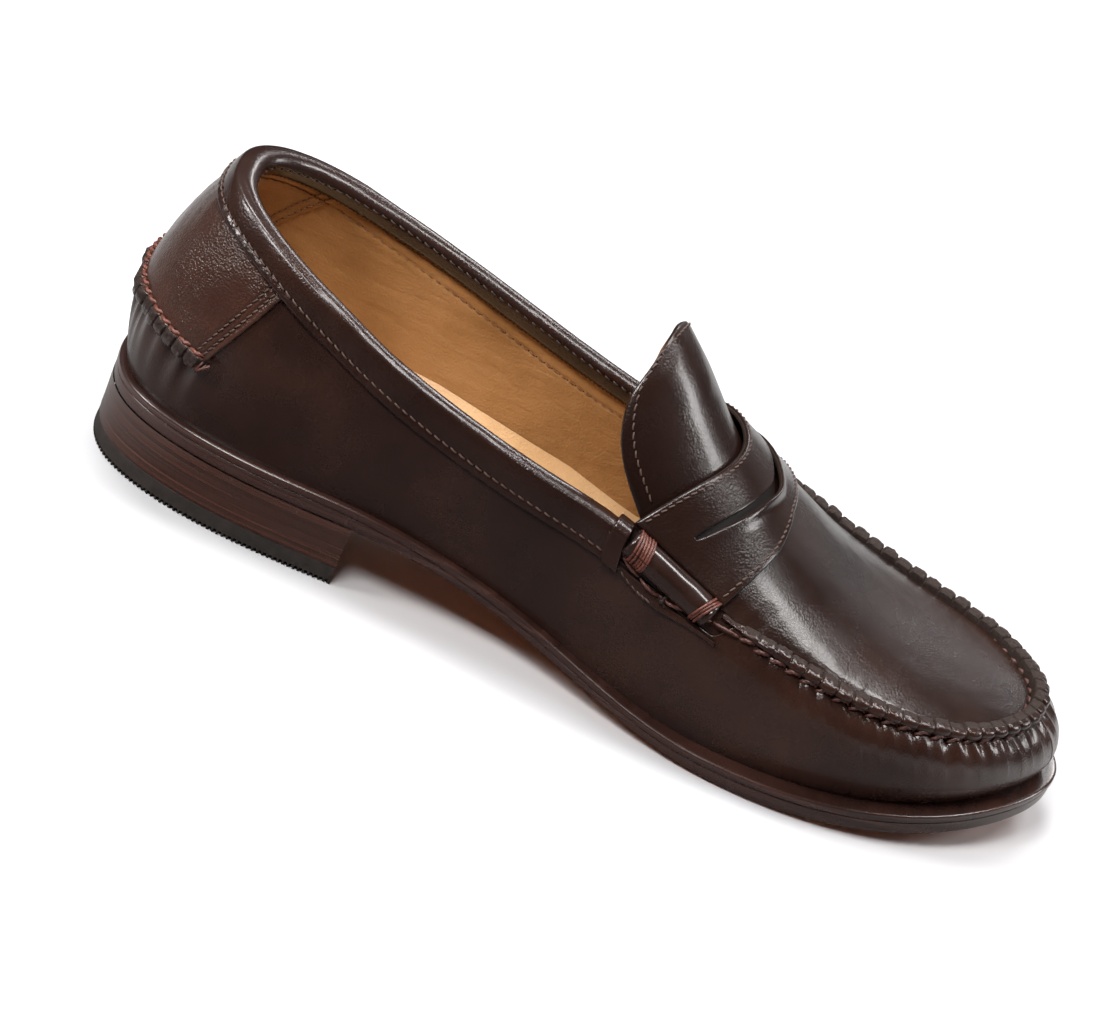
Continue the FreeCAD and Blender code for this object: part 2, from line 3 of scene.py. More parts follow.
import bmesh
import bpy
import numpy as np
from mathutils import Matrix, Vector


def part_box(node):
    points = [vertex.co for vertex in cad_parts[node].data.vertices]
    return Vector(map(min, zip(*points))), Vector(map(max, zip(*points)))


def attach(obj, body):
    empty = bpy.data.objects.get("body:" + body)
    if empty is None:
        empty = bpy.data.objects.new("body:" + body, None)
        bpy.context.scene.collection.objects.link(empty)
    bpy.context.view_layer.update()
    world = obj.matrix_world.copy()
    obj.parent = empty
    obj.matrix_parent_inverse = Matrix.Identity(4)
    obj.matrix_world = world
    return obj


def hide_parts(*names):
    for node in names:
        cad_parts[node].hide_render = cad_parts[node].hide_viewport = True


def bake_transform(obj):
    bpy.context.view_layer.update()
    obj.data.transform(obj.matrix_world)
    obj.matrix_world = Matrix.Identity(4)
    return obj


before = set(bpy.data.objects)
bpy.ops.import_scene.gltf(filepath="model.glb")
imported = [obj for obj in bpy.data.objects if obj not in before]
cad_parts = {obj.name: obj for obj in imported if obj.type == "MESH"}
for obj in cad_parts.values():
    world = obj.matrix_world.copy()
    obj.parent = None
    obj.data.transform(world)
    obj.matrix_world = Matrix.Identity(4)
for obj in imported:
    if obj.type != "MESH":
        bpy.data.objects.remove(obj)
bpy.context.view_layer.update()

# All shapes are worked out in millimetres: +X from the back of the heel to the toe, -Y the outer side,
# +Z up, ground at z = 0. place() turns them into the CAD frame, found from the heel nails' corner.
NAILS_CORNER = np.array([13.1, -24.9])
nails_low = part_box("heel_nails")[0]
SHIFT = np.array([NAILS_CORNER[0] - 1000 * nails_low.x, NAILS_CORNER[1] - 1000 * nails_low.y, 0.0])


def place(points):
    """From millimetres to metres in the CAD frame."""
    return (np.asarray(points, float) - SHIFT) / 1000


# ---------------------------------------------------------------- curves and surfaces of the shoe
def smoothstep(low, high, x):
    t = np.clip((np.asarray(x, float) - low) / (high - low), 0, 1)
    return t * t * (3 - 2 * t)


def unit(v):
    return v / np.maximum(np.linalg.norm(v, axis=-1, keepdims=True), 1e-9)


def vec(x, y, z):
    return np.stack(np.broadcast_arrays(x, y, z), axis=-1).astype(float)


class Spline:
    """A cubic spline through points at the whole-number parameters 0, 1, 2 ..."""

    def __init__(self, points, closed=False):
        self.points = np.array(points, float).reshape(len(points), -1)
        self.closed = closed
        count = len(self.points)
        matrix = np.eye(count) * 4
        force = np.zeros_like(self.points)
        for i in range(count):
            if not closed and i in (0, count - 1):
                matrix[i] = np.eye(count)[i]
                continue
            matrix[i, (i - 1) % count] += 1
            matrix[i, (i + 1) % count] += 1
            force[i] = 6 * (self.points[i - 1] - 2 * self.points[i] + self.points[(i + 1) % count])
        self.bend = np.linalg.solve(matrix, force)

    def __call__(self, t):
        t = np.asarray(t, float)
        count = len(self.points)
        i = np.floor(t).astype(int)
        if not self.closed:
            i = np.clip(i, 0, count - 2)
        b = (t - i)[..., None]
        a = 1 - b
        i, j = i % count, (i + 1) % count
        value = (a * self.points[i] + b * self.points[j]
                 + ((a ** 3 - a) * self.bend[i] + (b ** 3 - b) * self.bend[j]) / 6)
        return value[..., 0] if value.shape[-1] == 1 else value


# Stations count round the shoe, from the back of the heel (0) along the outer side to the toe (10) and
# back along the inner side. Heights on the wall run from 0 at the welt to 1 at the mouth's edge.
STATIONS, TOE = 20, 10
sole_rail = Spline([
    (-4, 0, 0), (5, -24, 0), (37, -36, 0), (80, -36.5, 0), (125, -35.5, 0),
    (160, -42, 0), (195, -49, 0), (235, -47.5, 0), (268, -35, 0), (290, -15.5, 0),
    (298, 6, 0), (288, 27.5, 0), (263, 43, 0), (215, 56, 0), (175, 47, 0),
    (145, 34.5, 0), (110, 28, 0), (75, 29, 0), (37, 33, 0), (6, 23.5, 0)], closed=True)
top_rail = Spline([
    (13, 1, 97.5), (19, -13, 95.5), (44, -25.5, 85.5), (80, -30.5, 72), (122, -33, 63),
    (151, -36.5, 59.5), (185, -41, 49), (222, -42, 41), (256, -33.5, 37.5), (277, -15, 37.5),
    (283, 7, 38), (271, 27, 37), (246, 38.5, 37), (206, 44, 43), (181, 41, 53),
    (149, 35.5, 62), (120, 32.5, 69.5), (81, 31, 80.5), (42, 27, 91), (17, 15, 97)], closed=True)
OUTSOLE, WELT, SOCK_TOP = 4.4, 2.6, 12.1
TOP_PIECE, LIFT = 6.0, 3.5
HEEL_HEIGHT, TOE_SPRING = 20.0, 12.0
LIP_HEIGHT, LIP_SHARE = 3.2, 0.12
TOPLINE_END, ROLL_SHELF = 0.945, 0.80
STITCH_RADIUS, HOLE_RADIUS = 0.27, 0.34
PATCH_REACH, COLLAR_WIDTH = 1.6, 13.0
# Stations, counted from the heel, between which the rolls lie and the wall is cut down for them.
GAP_OPENS, GAP_OPEN, GAP_CLOSES, GAP_CLOSED = 4.85, 5.05, 5.95, 6.2
# The collar's machine stitch rows end at this station.
ROW_END = 4.86
# The grooves of the finer hand threads.
LAID = {"depth": 0.34, "twist": 0.26}
UP = np.array([0.0, 0.0, 1.0])


def ground_height(x):
    """Height of the outsole's lower face: the heel's rise, the waist and the toe spring."""
    rise = np.maximum(0, (x - 198) / 100)
    return HEEL_HEIGHT * (1 - smoothstep(70, 198, x)) + TOE_SPRING * rise ** 2


def waist_bevel(x):
    """How far the waist's edge is cut back from below."""
    return 1.8 * smoothstep(72, 120, x) * (1 - smoothstep(170, 225, x))


def outward(station):
    """Level direction away from the shoe, at a station."""
    along = sole_rail(station + 0.05) - sole_rail(station - 0.05)
    return unit(vec(along[..., 1], -along[..., 0], 0))


def ledge(x):
    """How far the welt stands out past the wall."""
    return 2 + 4 / (1 + np.exp(-(x - 165) / 18))


def from_heel(station):
    """Stations from the back of the heel, whichever side is nearer."""
    s = np.mod(station, STATIONS)
    return np.minimum(s, STATIONS - s)


def signed(station):
    """Stations from -10 to 10, negative along the inner side."""
    return np.where(station > TOE, station - STATIONS, station)


def roll_gap(station):
    """1 under the rolls, where the wall and its lining are cut down, and 0 elsewhere."""
    distance = from_heel(station)
    return smoothstep(GAP_OPENS, GAP_OPEN, distance) * (1 - smoothstep(GAP_CLOSES, GAP_CLOSED, distance))


def feather(station):
    """The line where the wall meets the welt."""
    edge = sole_rail(station)
    point = edge - outward(station) * ledge(edge[..., 0])[..., None]
    point[..., 2] = ground_height(point[..., 0]) + OUTSOLE + WELT + 0.15
    return point


def wall_point(station, height):
    """A point of the wall's outer face: a bulging curve from the welt to the rail, and a lip above it."""
    station, height = np.broadcast_arrays(np.asarray(station, float), np.asarray(height, float))
    low, top, out = feather(station), top_rail(station), outward(station)
    front = smoothstep(140, 235, top[..., 0])[..., None]
    heel = 1 - smoothstep(20, 60, top[..., 0])[..., None]
    tall = (top - low)[..., 2:]
    belly = low + out * (3 + 3.5 * front + 5 * heel) + UP * tall * 0.38
    shoulder = top + out * (4 + 6 * front + 11 * heel) - UP * tall * (0.36 - 0.26 * front)
    b = np.minimum(height, 1.0)[..., None]
    a = 1 - b
    point = low * a ** 3 + belly * (3 * a * a * b) + shoulder * (3 * a * b * b) + top * b ** 3
    lip = np.maximum(height - 1, 0)[..., None] * LIP_HEIGHT / LIP_SHARE
    return point + UP * lip


FRONT_ARC, THROAT = 1.3, 5
apron_crown = Spline([0, 4, 7, 10, 12.5, 17])
apron_bow = Spline([0, 12, 12, 12, 14, 22])
tongue_edge_outer = Spline([
    (152, -33.5, 61.5), (143, -31.5, 72), (137.6, -28, 81.5), (136, -22, 91), (137, -13, 99.5)])
tongue_edge_inner = Spline([
    (150, 32.5, 63), (143.5, 31, 73), (141, 28, 81), (141.5, 23.5, 88.5), (142.5, 17, 96)])
tongue_crown = Spline([14, 13, 11.5, 9, 7.5])
tongue_bow = Spline([21.5, 19.5, 16.5, 10.5, 1.5])


def arched(left, right, side, bow, crown, fullness):
    """A row from left to right that bows forward and rises to a crown."""
    side = side[..., None]
    chord = left * ((1 - side) / 2) + right * ((1 + side) / 2)
    arch = (1 - side ** 2) * (1 + fullness[..., None] * side ** 2)
    return chord + np.concatenate([bow[..., None] * (1 - side ** 2), 0 * side, crown[..., None] * arch], -1)


def apron_point(back, side):
    """A point of the apron's outer face; back runs 0 to 1 from the toe, side -1 to 1."""
    back, side = np.broadcast_arrays(np.asarray(back, float), np.asarray(side, float))
    reach = FRONT_ARC + (THROAT - FRONT_ARC) * back
    left, right = top_rail(TOE - reach), top_rail(TOE + reach)
    s = side[..., None]
    ends = top_rail(TOE - FRONT_ARC), top_rail(TOE + FRONT_ARC)
    dip = top_rail(TOE + FRONT_ARC * side) - ends[0] * ((1 - s) / 2) - ends[1] * ((1 + s) / 2)
    settle = smoothstep(0, 0.3, back)
    row = arched(left, right, side, apron_bow(5 * back) * settle, apron_crown(5 * back), 0.2 + 0.5 * back)
    return row + dip * (1 - settle[..., None])


def tongue_point(rise, side):
    """A point of the tongue's outer face; rise runs 0 to 1 from the strap to the tip."""
    rise, side = np.broadcast_arrays(np.asarray(rise, float), np.asarray(side, float))
    left, right = tongue_edge_outer(4 * rise), tongue_edge_inner(4 * rise)
    return arched(left, right, side, tongue_bow(4 * rise), tongue_crown(4 * rise), 0.7 - 0.4 * rise)


def normal_of(surface, u, v, du, dv, sign=1.0):
    """Unit normals of a surface by small steps in u and v."""
    across_u = surface(u + du, v) - surface(u - du, v)
    across_v = surface(u, v + dv) - surface(u, v - dv)
    return sign * unit(np.cross(across_u, across_v))


def wall_normal(station, height):
    return normal_of(wall_point, station, height, 0.12, 0.03)


def apron_normal(back, side):
    return normal_of(apron_point, back, side, 0.02, 0.04, -1)


def tongue_normal(rise, side):
    return normal_of(tongue_point, rise, side, 0.02, 0.04, -1)


def layer(point_of, direction_of, u, v, lift):
    """Points lift millimetres outside a surface's outer face."""
    u, v = np.broadcast_arrays(np.asarray(u, float), np.asarray(v, float))
    return point_of(u, v) + direction_of(u, v) * np.asarray(lift, float)[..., None]


def wall_layer(station, height, lift=0.0):
    return layer(wall_point, wall_normal, station, height, lift)


def apron_layer(back, side, lift=0.0):
    return layer(apron_point, apron_normal, back, side, lift)


def tongue_layer(rise, side, lift=0.0):
    return layer(tongue_point, tongue_normal, rise, side, lift)


# ---------------------------------------------------------------- small numeric helpers
def clustered(low, high, count, grip=0.75):
    """Values from low to high that crowd towards both ends."""
    t = np.linspace(0, 1, count)
    return low + (high - low) * ((1 - grip) * t + grip * (1 - np.cos(math.pi * t)) / 2)


def hashed(i, seed):
    """A fixed value from 0 to 1 for every whole number."""
    value = np.sin(np.asarray(i, float) * 127.1 + seed * 311.7) * 43758.5453
    return value - np.floor(value)


def noise1(x, seed):
    """Smooth noise from -1 to 1 along a line; x is in noise cells."""
    x = np.asarray(x, float)
    i = np.floor(x)
    t = smoothstep(0, 1, x - i)
    return 2 * (hashed(i, seed) * (1 - t) + hashed(i + 1, seed) * t) - 1


def noise2(x, y, seed):
    """Smooth noise from -1 to 1 on a plane."""
    x, y = np.broadcast_arrays(np.asarray(x, float), np.asarray(y, float))
    i, j = np.floor(x), np.floor(y)
    s, t = smoothstep(0, 1, x - i), smoothstep(0, 1, y - j)

    def corner(a, b):
        return hashed(a + 57.3 * b, seed)
    low = corner(i, j) * (1 - s) + corner(i + 1, j) * s
    high = corner(i, j + 1) * (1 - s) + corner(i + 1, j + 1) * s
    return 2 * (low * (1 - t) + high * t) - 1


def travelled(points):
    """Distance along a line of points."""
    steps = np.linalg.norm(np.diff(points, axis=0), axis=-1)
    return np.concatenate([[0], np.cumsum(steps)])


def even(curve, first, last, pitch=None, count=None):
    """Parameters from first to last at which the curve's points are equally far apart."""
    fine = np.linspace(first, last, 1500)
    way = travelled(curve(fine))
    if count is None:
        count = max(2, int(round(way[-1] / pitch)) + 1)
    return np.interp(np.linspace(0, way[-1], count), way, fine)


def quads_of(index):
    """Quads between the rows and columns of a grid of point numbers."""
    return np.stack([index[:-1, :-1], index[1:, :-1], index[1:, 1:], index[:-1, 1:]], -1)


def fan(count):
    """Triangles from a ring of count points to the point that follows them."""
    k = np.arange(count)
    return np.stack([k, (k + 1) % count, np.full(count, count), np.full(count, count)], -1)


def edge_sink(points, radius, edges):
    """How far each point of a grid sinks where a cut edge is rounded off."""
    distance = np.full(points.shape[:2], 1e9)
    for axis, low, high in ((0, "u0", "u1"), (1, "v0", "v1")):
        steps = np.linalg.norm(np.diff(points, axis=axis), axis=-1)
        pad = [(1, 0), (0, 0)] if axis == 0 else [(0, 0), (1, 0)]
        way = np.cumsum(np.pad(steps, pad), axis=axis)
        if low in edges:
            distance = np.minimum(distance, way)
        if high in edges:
            distance = np.minimum(distance, np.take(way, [-1], axis=axis) - way)
    x = np.clip(1 - distance / radius, 0, 1)
    return radius * (1 - np.sqrt(np.maximum(0, 1 - x * x)))


# ---------------------------------------------------------------- meshes
class Mesh:
    """Collects grids and tubes in millimetres and makes one object of them."""

    def __init__(self):
        self.points, self.faces, self.count = [], [], 0
        self.slots = []

    def add(self, points, faces, slot=0):
        points = np.asarray(points, float).reshape(-1, 3)
        faces = np.asarray(faces, int)
        self.points.append(points)
        self.faces.append(faces + self.count)
        self.slots.append(np.full(len(faces), slot))
        self.count += len(points)

    def grid(self, net, flip=False, wrap_u=False, wrap_v=False, slot=0, keep=None):
        rows, columns = net.shape[:2]
        index = np.arange(rows * columns).reshape(rows, columns)
        if wrap_u:
            index = np.vstack([index, index[:1]])
        if wrap_v:
            index = np.hstack([index, index[:, :1]])
        quads = quads_of(index)
        quads = quads.reshape(-1, 4) if keep is None else quads[keep]
        if flip:
            quads = quads[:, ::-1]
        self.add(net.reshape(-1, 3), quads, slot)

    def shell(self, outer, inner, flip=False):
        """A closed shell: outer and inner faces, and the rim between them in the second material."""
        rows, columns = outer.shape[:2]
        index = np.arange(rows * columns).reshape(rows, columns)
        quads = quads_of(index).reshape(-1, 4)
        far = rows * columns
        loop = np.concatenate([index[0, :-1], index[:-1, -1], index[-1, :0:-1], index[:0:-1, 0]])
        following = np.roll(loop, -1)
        rim = np.stack([following, loop, loop + far, following + far], -1)
        faces = [quads, quads[:, ::-1] + far, rim[:, ::-1]]
        if flip:
            faces = [f[:, ::-1] for f in faces]
        points = np.concatenate([outer.reshape(-1, 3), inner.reshape(-1, 3)])
        base = self.count
        self.add(points, faces[0])
        for more, slot in ((faces[1], 0), (faces[2], 1)):
            self.points.append(np.zeros((0, 3)))
            self.faces.append(more + base)
            self.slots.append(np.full(len(more), slot))

    def tube(self, path, radius, sides=8, depth=0.0, twist=0.0):
        """A tube along path; two grooves of this depth and twist, in turns per millimetre, make it a laid
        thread."""
        path = np.asarray(path, float)
        along = unit(np.gradient(path, axis=0))
        side = np.cross(along, UP)
        weak = np.linalg.norm(side, axis=-1) < 0.2
        side[weak] = np.cross(along[weak], np.array([0.0, 1.0, 0.0]))
        side = unit(side)
        up = np.cross(side, along)
        way = travelled(path)
        angle = np.linspace(0, 2 * math.pi, sides, endpoint=False)
        radius = np.broadcast_to(np.asarray(radius, float), way.shape)[:, None]
        turn = angle[None] + 2 * math.pi * twist * way[:, None]
        radius = radius * (1 - depth * (0.5 + 0.5 * np.cos(2 * turn)))
        ring = side[:, None] * np.cos(angle)[None, :, None] + up[:, None] * np.sin(angle)[None, :, None]
        net = path[:, None] + ring * radius[..., None]
        self.grid(net, wrap_v=True)
        cap = fan(sides)
        for end in (0, -1):
            centre = path[end] + along[end] * (radius[end, 0] * 0.3) * (1 if end else -1)
            self.add(np.concatenate([net[end], centre[None]]), cap if end else cap[:, ::-1])

    def build(self, name, materials, body="root", nodes=(), slot=None, sharp=None, weld=False):
        points = place(np.concatenate(self.points)).astype(np.float32)
        faces = np.concatenate(self.faces)
        slots = np.concatenate(self.slots)
        triangles = faces[:, 2] == faces[:, 3]
        sizes = np.where(triangles, 3, 4)
        starts = np.concatenate([[0], np.cumsum(sizes)[:-1]])
        mask = np.ones(faces.shape, bool)
        mask[triangles, 3] = False
        mesh = bpy.data.meshes.new(name)
        mesh.vertices.add(len(points))
        mesh.vertices.foreach_set("co", points.ravel())
        mesh.loops.add(int(sizes.sum()))
        mesh.loops.foreach_set("vertex_index", faces[mask].astype(np.int32))
        mesh.polygons.add(len(faces))
        mesh.polygons.foreach_set("loop_start", starts.astype(np.int32))
        mesh.polygons.foreach_set("material_index", slots.astype(np.int32))
        mesh.polygons.foreach_set("use_smooth", np.full(len(faces), True))
        mesh.update(calc_edges=True)
        mesh.validate()
        if weld:
            bm = bmesh.new()
            bm.from_mesh(mesh)
            bmesh.ops.remove_doubles(bm, verts=bm.verts, dist=2e-6)
            bm.to_mesh(mesh)
            bm.free()
        if sharp is not None:
            mesh.set_sharp_from_angle(angle=math.radians(sharp))
        for material in materials if isinstance(materials, (list, tuple)) else [materials]:
            mesh.materials.append(material)
        obj = bpy.data.objects.new(name, mesh)
        bpy.context.scene.collection.objects.link(obj)
        if body:
            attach(obj, body)
        if nodes:
            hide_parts(*nodes)
        return obj


# ---------------------------------------------------------------- materials
class Nodes:
    """Adds and links the nodes of one tree."""

    def __init__(self, tree):
        self.tree = tree

    def feed(self, socket, value):
        """Link another node's output to a socket or set its own value; a colour gets its alpha."""
        if isinstance(value, bpy.types.NodeSocket):
            self.tree.links.new(value, socket)
            return
        if isinstance(value, tuple) and len(socket.default_value) == 4:
            value = (*value, 1.0)
        socket.default_value = value

    def node(self, kind, inputs=None, **settings):
        node = self.tree.nodes.new(kind)
        for key, value in settings.items():
            setattr(node, key, value)
        for key, value in (inputs or {}).items():
            self.feed(node.inputs[key], value)
        return node

    def vectors(self, operation, inputs):
        return self.node("ShaderNodeVectorMath", inputs, operation=operation).outputs[0]

    def ramp(self, value, stops):
        node = self.node("ShaderNodeValToRGB", {"Fac": value})
        ramp = node.color_ramp
        while len(ramp.elements) < len(stops):
            ramp.elements.new(0.5)
        for element, (at, colour) in zip(ramp.elements, stops):
            element.position = at
            element.color = (*colour, 1.0) if isinstance(colour, tuple) else (colour, colour, colour, 1.0)
        return node.outputs["Color"]


class Shader(Nodes):
    """The nodes of one new material."""

    def __init__(self, name):
        self.material = bpy.data.materials.new(name)
        self.material.use_nodes = True
        super().__init__(self.material.node_tree)
        self.main = self.tree.nodes["Principled BSDF"]
        self.coord = self.tree.nodes.new("ShaderNodeTexCoord").outputs["Object"]

    def noise(self, scale, detail=3.0, rough=0.55, stretch=None, distortion=0.0):
        vector = self.coord
        if stretch:
            vector = self.node("ShaderNodeMapping", {"Vector": vector, "Scale": stretch}).outputs[0]
        return self.node("ShaderNodeTexNoise", {"Vector": vector, "Scale": scale, "Detail": detail,
                                                "Roughness": rough, "Distortion": distortion}).outputs["Fac"]

    def cells(self, scale, warp=0.0):
        vector = self.coord
        if warp:
            bent = self.node("ShaderNodeTexNoise", {"Vector": vector, "Scale": scale * 0.6, "Detail": 2.0})
            push = self.vectors("SUBTRACT", {0: bent.outputs["Color"], 1: (0.5, 0.5, 0.5)})
            grown = self.vectors("SCALE", {0: push, "Scale": warp})
            vector = self.vectors("ADD", {0: vector, 1: grown})
        return self.node("ShaderNodeTexVoronoi", {"Vector": vector, "Scale": scale}).outputs["Distance"]

    def remap(self, value, low, high, to_low, to_high):
        return self.node("ShaderNodeMapRange", {"Value": value, "From Min": low, "From Max": high,
                                                "To Min": to_low, "To Max": to_high}).outputs[0]

    def mix(self, fac, a, b, mode="MIX"):
        inputs = {0: fac, 6: a, 7: b}
        return self.node("ShaderNodeMix", inputs, data_type="RGBA", blend_type=mode).outputs[2]

    def maths(self, operation, a, b=0.0):
        return self.node("ShaderNodeMath", {0: a, 1: b}, operation=operation).outputs[0]

    def bump(self, height, strength, distance, after=None):
        inputs = {"Height": height, "Strength": strength, "Distance": distance}
        if after is not None:
            inputs["Normal"] = after
        return self.node("ShaderNodeBump", inputs).outputs["Normal"]

    def set(self, **values):
        for key, value in values.items():
            self.feed(self.main.inputs[key.replace("_", " ")], value)
        return self.material


def calf(name, dark, mid, warm, grain, rough, coat):
    """Burnished calf: clouded browns, fine grain and a thin waxed finish."""
    s = Shader(name)
    colour = s.ramp(s.noise(20, 3, 0.55), [(0.26, dark), (0.5, mid), (0.76, warm)])
    speck = s.ramp(s.noise(1500, 2, 0.6), [(0.35, 0.82), (0.7, 1.12)])
    colour = s.mix(0.5, colour, speck, "MULTIPLY")
    normal = s.bump(s.noise(45, 1, 0.4), 0.12, 0.001)
    patchy = s.remap(s.noise(45, 2), 0.35, 0.65, 0.35, 1.0)
    pebble = s.maths("MULTIPLY", s.cells(1500, warp=0.0005), patchy)
    normal = s.bump(pebble, grain, 0.00028, normal)
    normal = s.bump(s.noise(3200, 2, 0.6), 0.2 * grain, 0.00015, normal)
    roughness = s.remap(s.noise(70, 3, 0.6), 0.3, 0.7, rough - 0.04, rough + 0.06)
    return s.set(Base_Color=colour, Roughness=roughness, Normal=normal, Coat_Weight=coat, Coat_Roughness=0.14,
                 Specular_IOR_Level=0.30)


def tan(name, dark, mid, light, crease, rough):
    """Soft lining leather with fine creases and pores."""
    s = Shader(name)
    colour = s.ramp(s.noise(30, 5, 0.6), [(0.3, dark), (0.5, mid), (0.72, light)])
    pores = s.ramp(s.cells(1500), [(0.0, 0.72), (0.25, 1.0)])
    colour = s.mix(0.5, colour, pores, "MULTIPLY")
    folds = s.noise(70, 4, 0.6, stretch=(0.35, 0.35, 2.2), distortion=0.6)
    normal = s.bump(folds, crease, 0.0016)
    normal = s.bump(s.cells(1300), 0.35, 0.0003, normal)
    normal = s.bump(s.noise(2200, 2), 0.3, 0.0002, normal)
    return s.set(Base_Color=colour, Roughness=rough, Normal=normal, Specular_IOR_Level=0.35)


def plain(name, colour, rough, bump_scale=1500, bump=0.4, spec=0.4, vary=0.35):
    """One colour that varies a little, on a finely rough surface."""
    s = Shader(name)
    low = tuple(c * (1 - vary) for c in colour)
    high = tuple(c * (1 + vary) for c in colour)
    mixed = s.ramp(s.noise(bump_scale * 0.3, 3, 0.6), [(0.3, low), (0.7, high)])
    normal = s.bump(s.noise(bump_scale, 3, 0.6), bump, 0.0003)
    return s.set(Base_Color=mixed, Roughness=rough, Normal=normal, Specular_IOR_Level=spec)


def layered_edge(name, dark, mid, light, rough, coat):
    """Polished edge of stacked leather: level streaks, darker and lighter."""
    s = Shader(name)
    streak = s.noise(90, 4, 0.6, stretch=(0.10, 0.10, 9.0))
    colour = s.ramp(streak, [(0.36, dark), (0.5, mid), (0.66, light)])
    normal = s.bump(s.noise(240, 2, 0.6, stretch=(0.06, 0.06, 6.0)), 0.10, 0.0002)
    roughness = s.remap(s.noise(90, 3), 0.3, 0.7, rough - 0.06, rough + 0.1)
    return s.set(Base_Color=colour, Roughness=roughness, Normal=normal, Coat_Weight=coat, Coat_Roughness=0.22)


def fibre(name, dark, light, rough):
    """The raw, fibrous cut edge of leather."""
    s = Shader(name)
    colour = s.ramp(s.noise(1400, 4, 0.7), [(0.3, dark), (0.72, light)])
    normal = s.bump(s.noise(2200, 3, 0.7), 0.8, 0.0004)
    return s.set(Base_Color=colour, Roughness=rough, Normal=normal, Specular_IOR_Level=0.25)


UPPER = calf("upper_calf", (0.0106, 0.0042, 0.0031), (0.0207, 0.0086, 0.0063), (0.0388, 0.0153, 0.0095),
             0.34, 0.25, 0.26)
# A darker copy of the upper's calf for the apron, strap and tongue: painted shade.
APRON_CALF = calf("apron_calf", (0.0077, 0.0032, 0.0023), (0.0144, 0.0061, 0.0043), (0.0256, 0.0103, 0.0062),
                  0.40, 0.24, 0.30)
COLLAR_CALF = calf("collar_calf", (0.0117, 0.0047, 0.0035), (0.0202, 0.0087, 0.0063),
                   (0.0356, 0.0143, 0.0088), 0.42, 0.24, 0.34)
PATCH_CALF = calf("patch_calf", (0.0204, 0.0077, 0.0052), (0.0366, 0.0148, 0.0098), (0.0713, 0.0261, 0.0146),
                  0.85, 0.27, 0.32)
ROLL_CALF = calf("roll_calf", (0.0110, 0.0046, 0.0034), (0.0183, 0.0079, 0.0058), (0.0318, 0.0127, 0.0083),
                 0.08, 0.27, 0.55)
RAW = fibre("raw_edge", (0.010, 0.005, 0.0035), (0.052, 0.030, 0.021), 0.7)
DARK_RAW = fibre("dark_raw_edge", (0.0087, 0.0051, 0.0041), (0.0406, 0.0232, 0.0174), 0.6)
RAW_TAN = fibre("raw_tan_edge", (0.05, 0.02, 0.012), (0.26, 0.13, 0.07), 0.8)
LINING = tan("lining_tan", (0.25, 0.118, 0.038), (0.33, 0.162, 0.056), (0.40, 0.205, 0.080), 0.45, 0.5)
SOCK = tan("sock_tan", (0.55, 0.325, 0.150), (0.645, 0.40, 0.20), (0.71, 0.465, 0.245), 0.15, 0.42)
HAND_THREAD = plain("hand_thread", (0.062, 0.019, 0.013), 0.42, 2500, 0.5, 0.5, 0.5)
HEEL_THREAD = plain("heel_thread", (0.1200, 0.0340, 0.0213), 0.42, 2500, 0.5, 0.5, 0.5)
WRAP_THREAD = plain("wrap_thread", (0.095, 0.026, 0.016), 0.38, 2500, 0.5, 0.5, 0.5)
FINE_THREAD = plain("fine_thread", (0.0756, 0.0418, 0.0317), 0.5, 3000, 0.3, 0.4, 0.3)
DARK_THREAD = plain("dark_thread", (0.024, 0.012, 0.009), 0.5, 3000, 0.3, 0.4, 0.3)
# Near-black: painted shade inside the needle holes and the heel's pin wells.
HOLE = plain("needle_hole", (0.004, 0.0025, 0.002), 0.9, 1500, 0.0, 0.1, 0.1)
# Painted shade: the dark sheet laid under the strap's slot.
PAINTED_SLOT_SHADE = plain("painted_slot_shade", (0.010, 0.0055, 0.0042), 0.6, 1500, 0.2, 0.3, 0.2)
EDGE = layered_edge("sole_edge", (0.0232, 0.0099, 0.0075), (0.0348, 0.0148, 0.0113), (0.0493, 0.0203, 0.0151),
                    0.24, 0.55)
LIFTS = layered_edge("lift_edge", (0.0280, 0.0112, 0.0078), (0.0406, 0.0157, 0.0109),
                     (0.0616, 0.0224, 0.0147), 0.18, 0.75)
UNDERSIDE = tan("sole_underside", (0.30, 0.085, 0.030), (0.42, 0.14, 0.052), (0.52, 0.20, 0.08), 0.12, 0.42)
RUBBER = plain("heel_rubber", (0.0255, 0.0195, 0.0165), 0.58, 900, 0.5, 0.4, 0.25)


# ---------------------------------------------------------------- camera, light and floor
def look(eye, forward, up):
    """Matrix of a camera or lamp at eye that faces forward."""
    f = np.array(forward, float) / np.linalg.norm(forward)
    r = np.cross(f, np.array(up, float))
    r /= np.linalg.norm(r)
    u = np.cross(r, f)
    return Matrix([[r[0], u[0], -f[0], eye[0]], [r[1], u[1], -f[1], eye[1]],
                   [r[2], u[2], -f[2], eye[2]], [0, 0, 0, 1]])


def add_area(name, where, target, size, power, colour, size_y):
    light = bpy.data.lights.new(name, "AREA")
    light.energy = power
    light.color = colour
    light.shape = "RECTANGLE"
    light.size, light.size_y = size, size_y
    obj = bpy.data.objects.new(name, light)
    bpy.context.scene.collection.objects.link(obj)
    where, target = np.array(where, float), np.array(target, float)
    obj.matrix_world = look(where, target - where, (0.3, 0.9, 0.31))


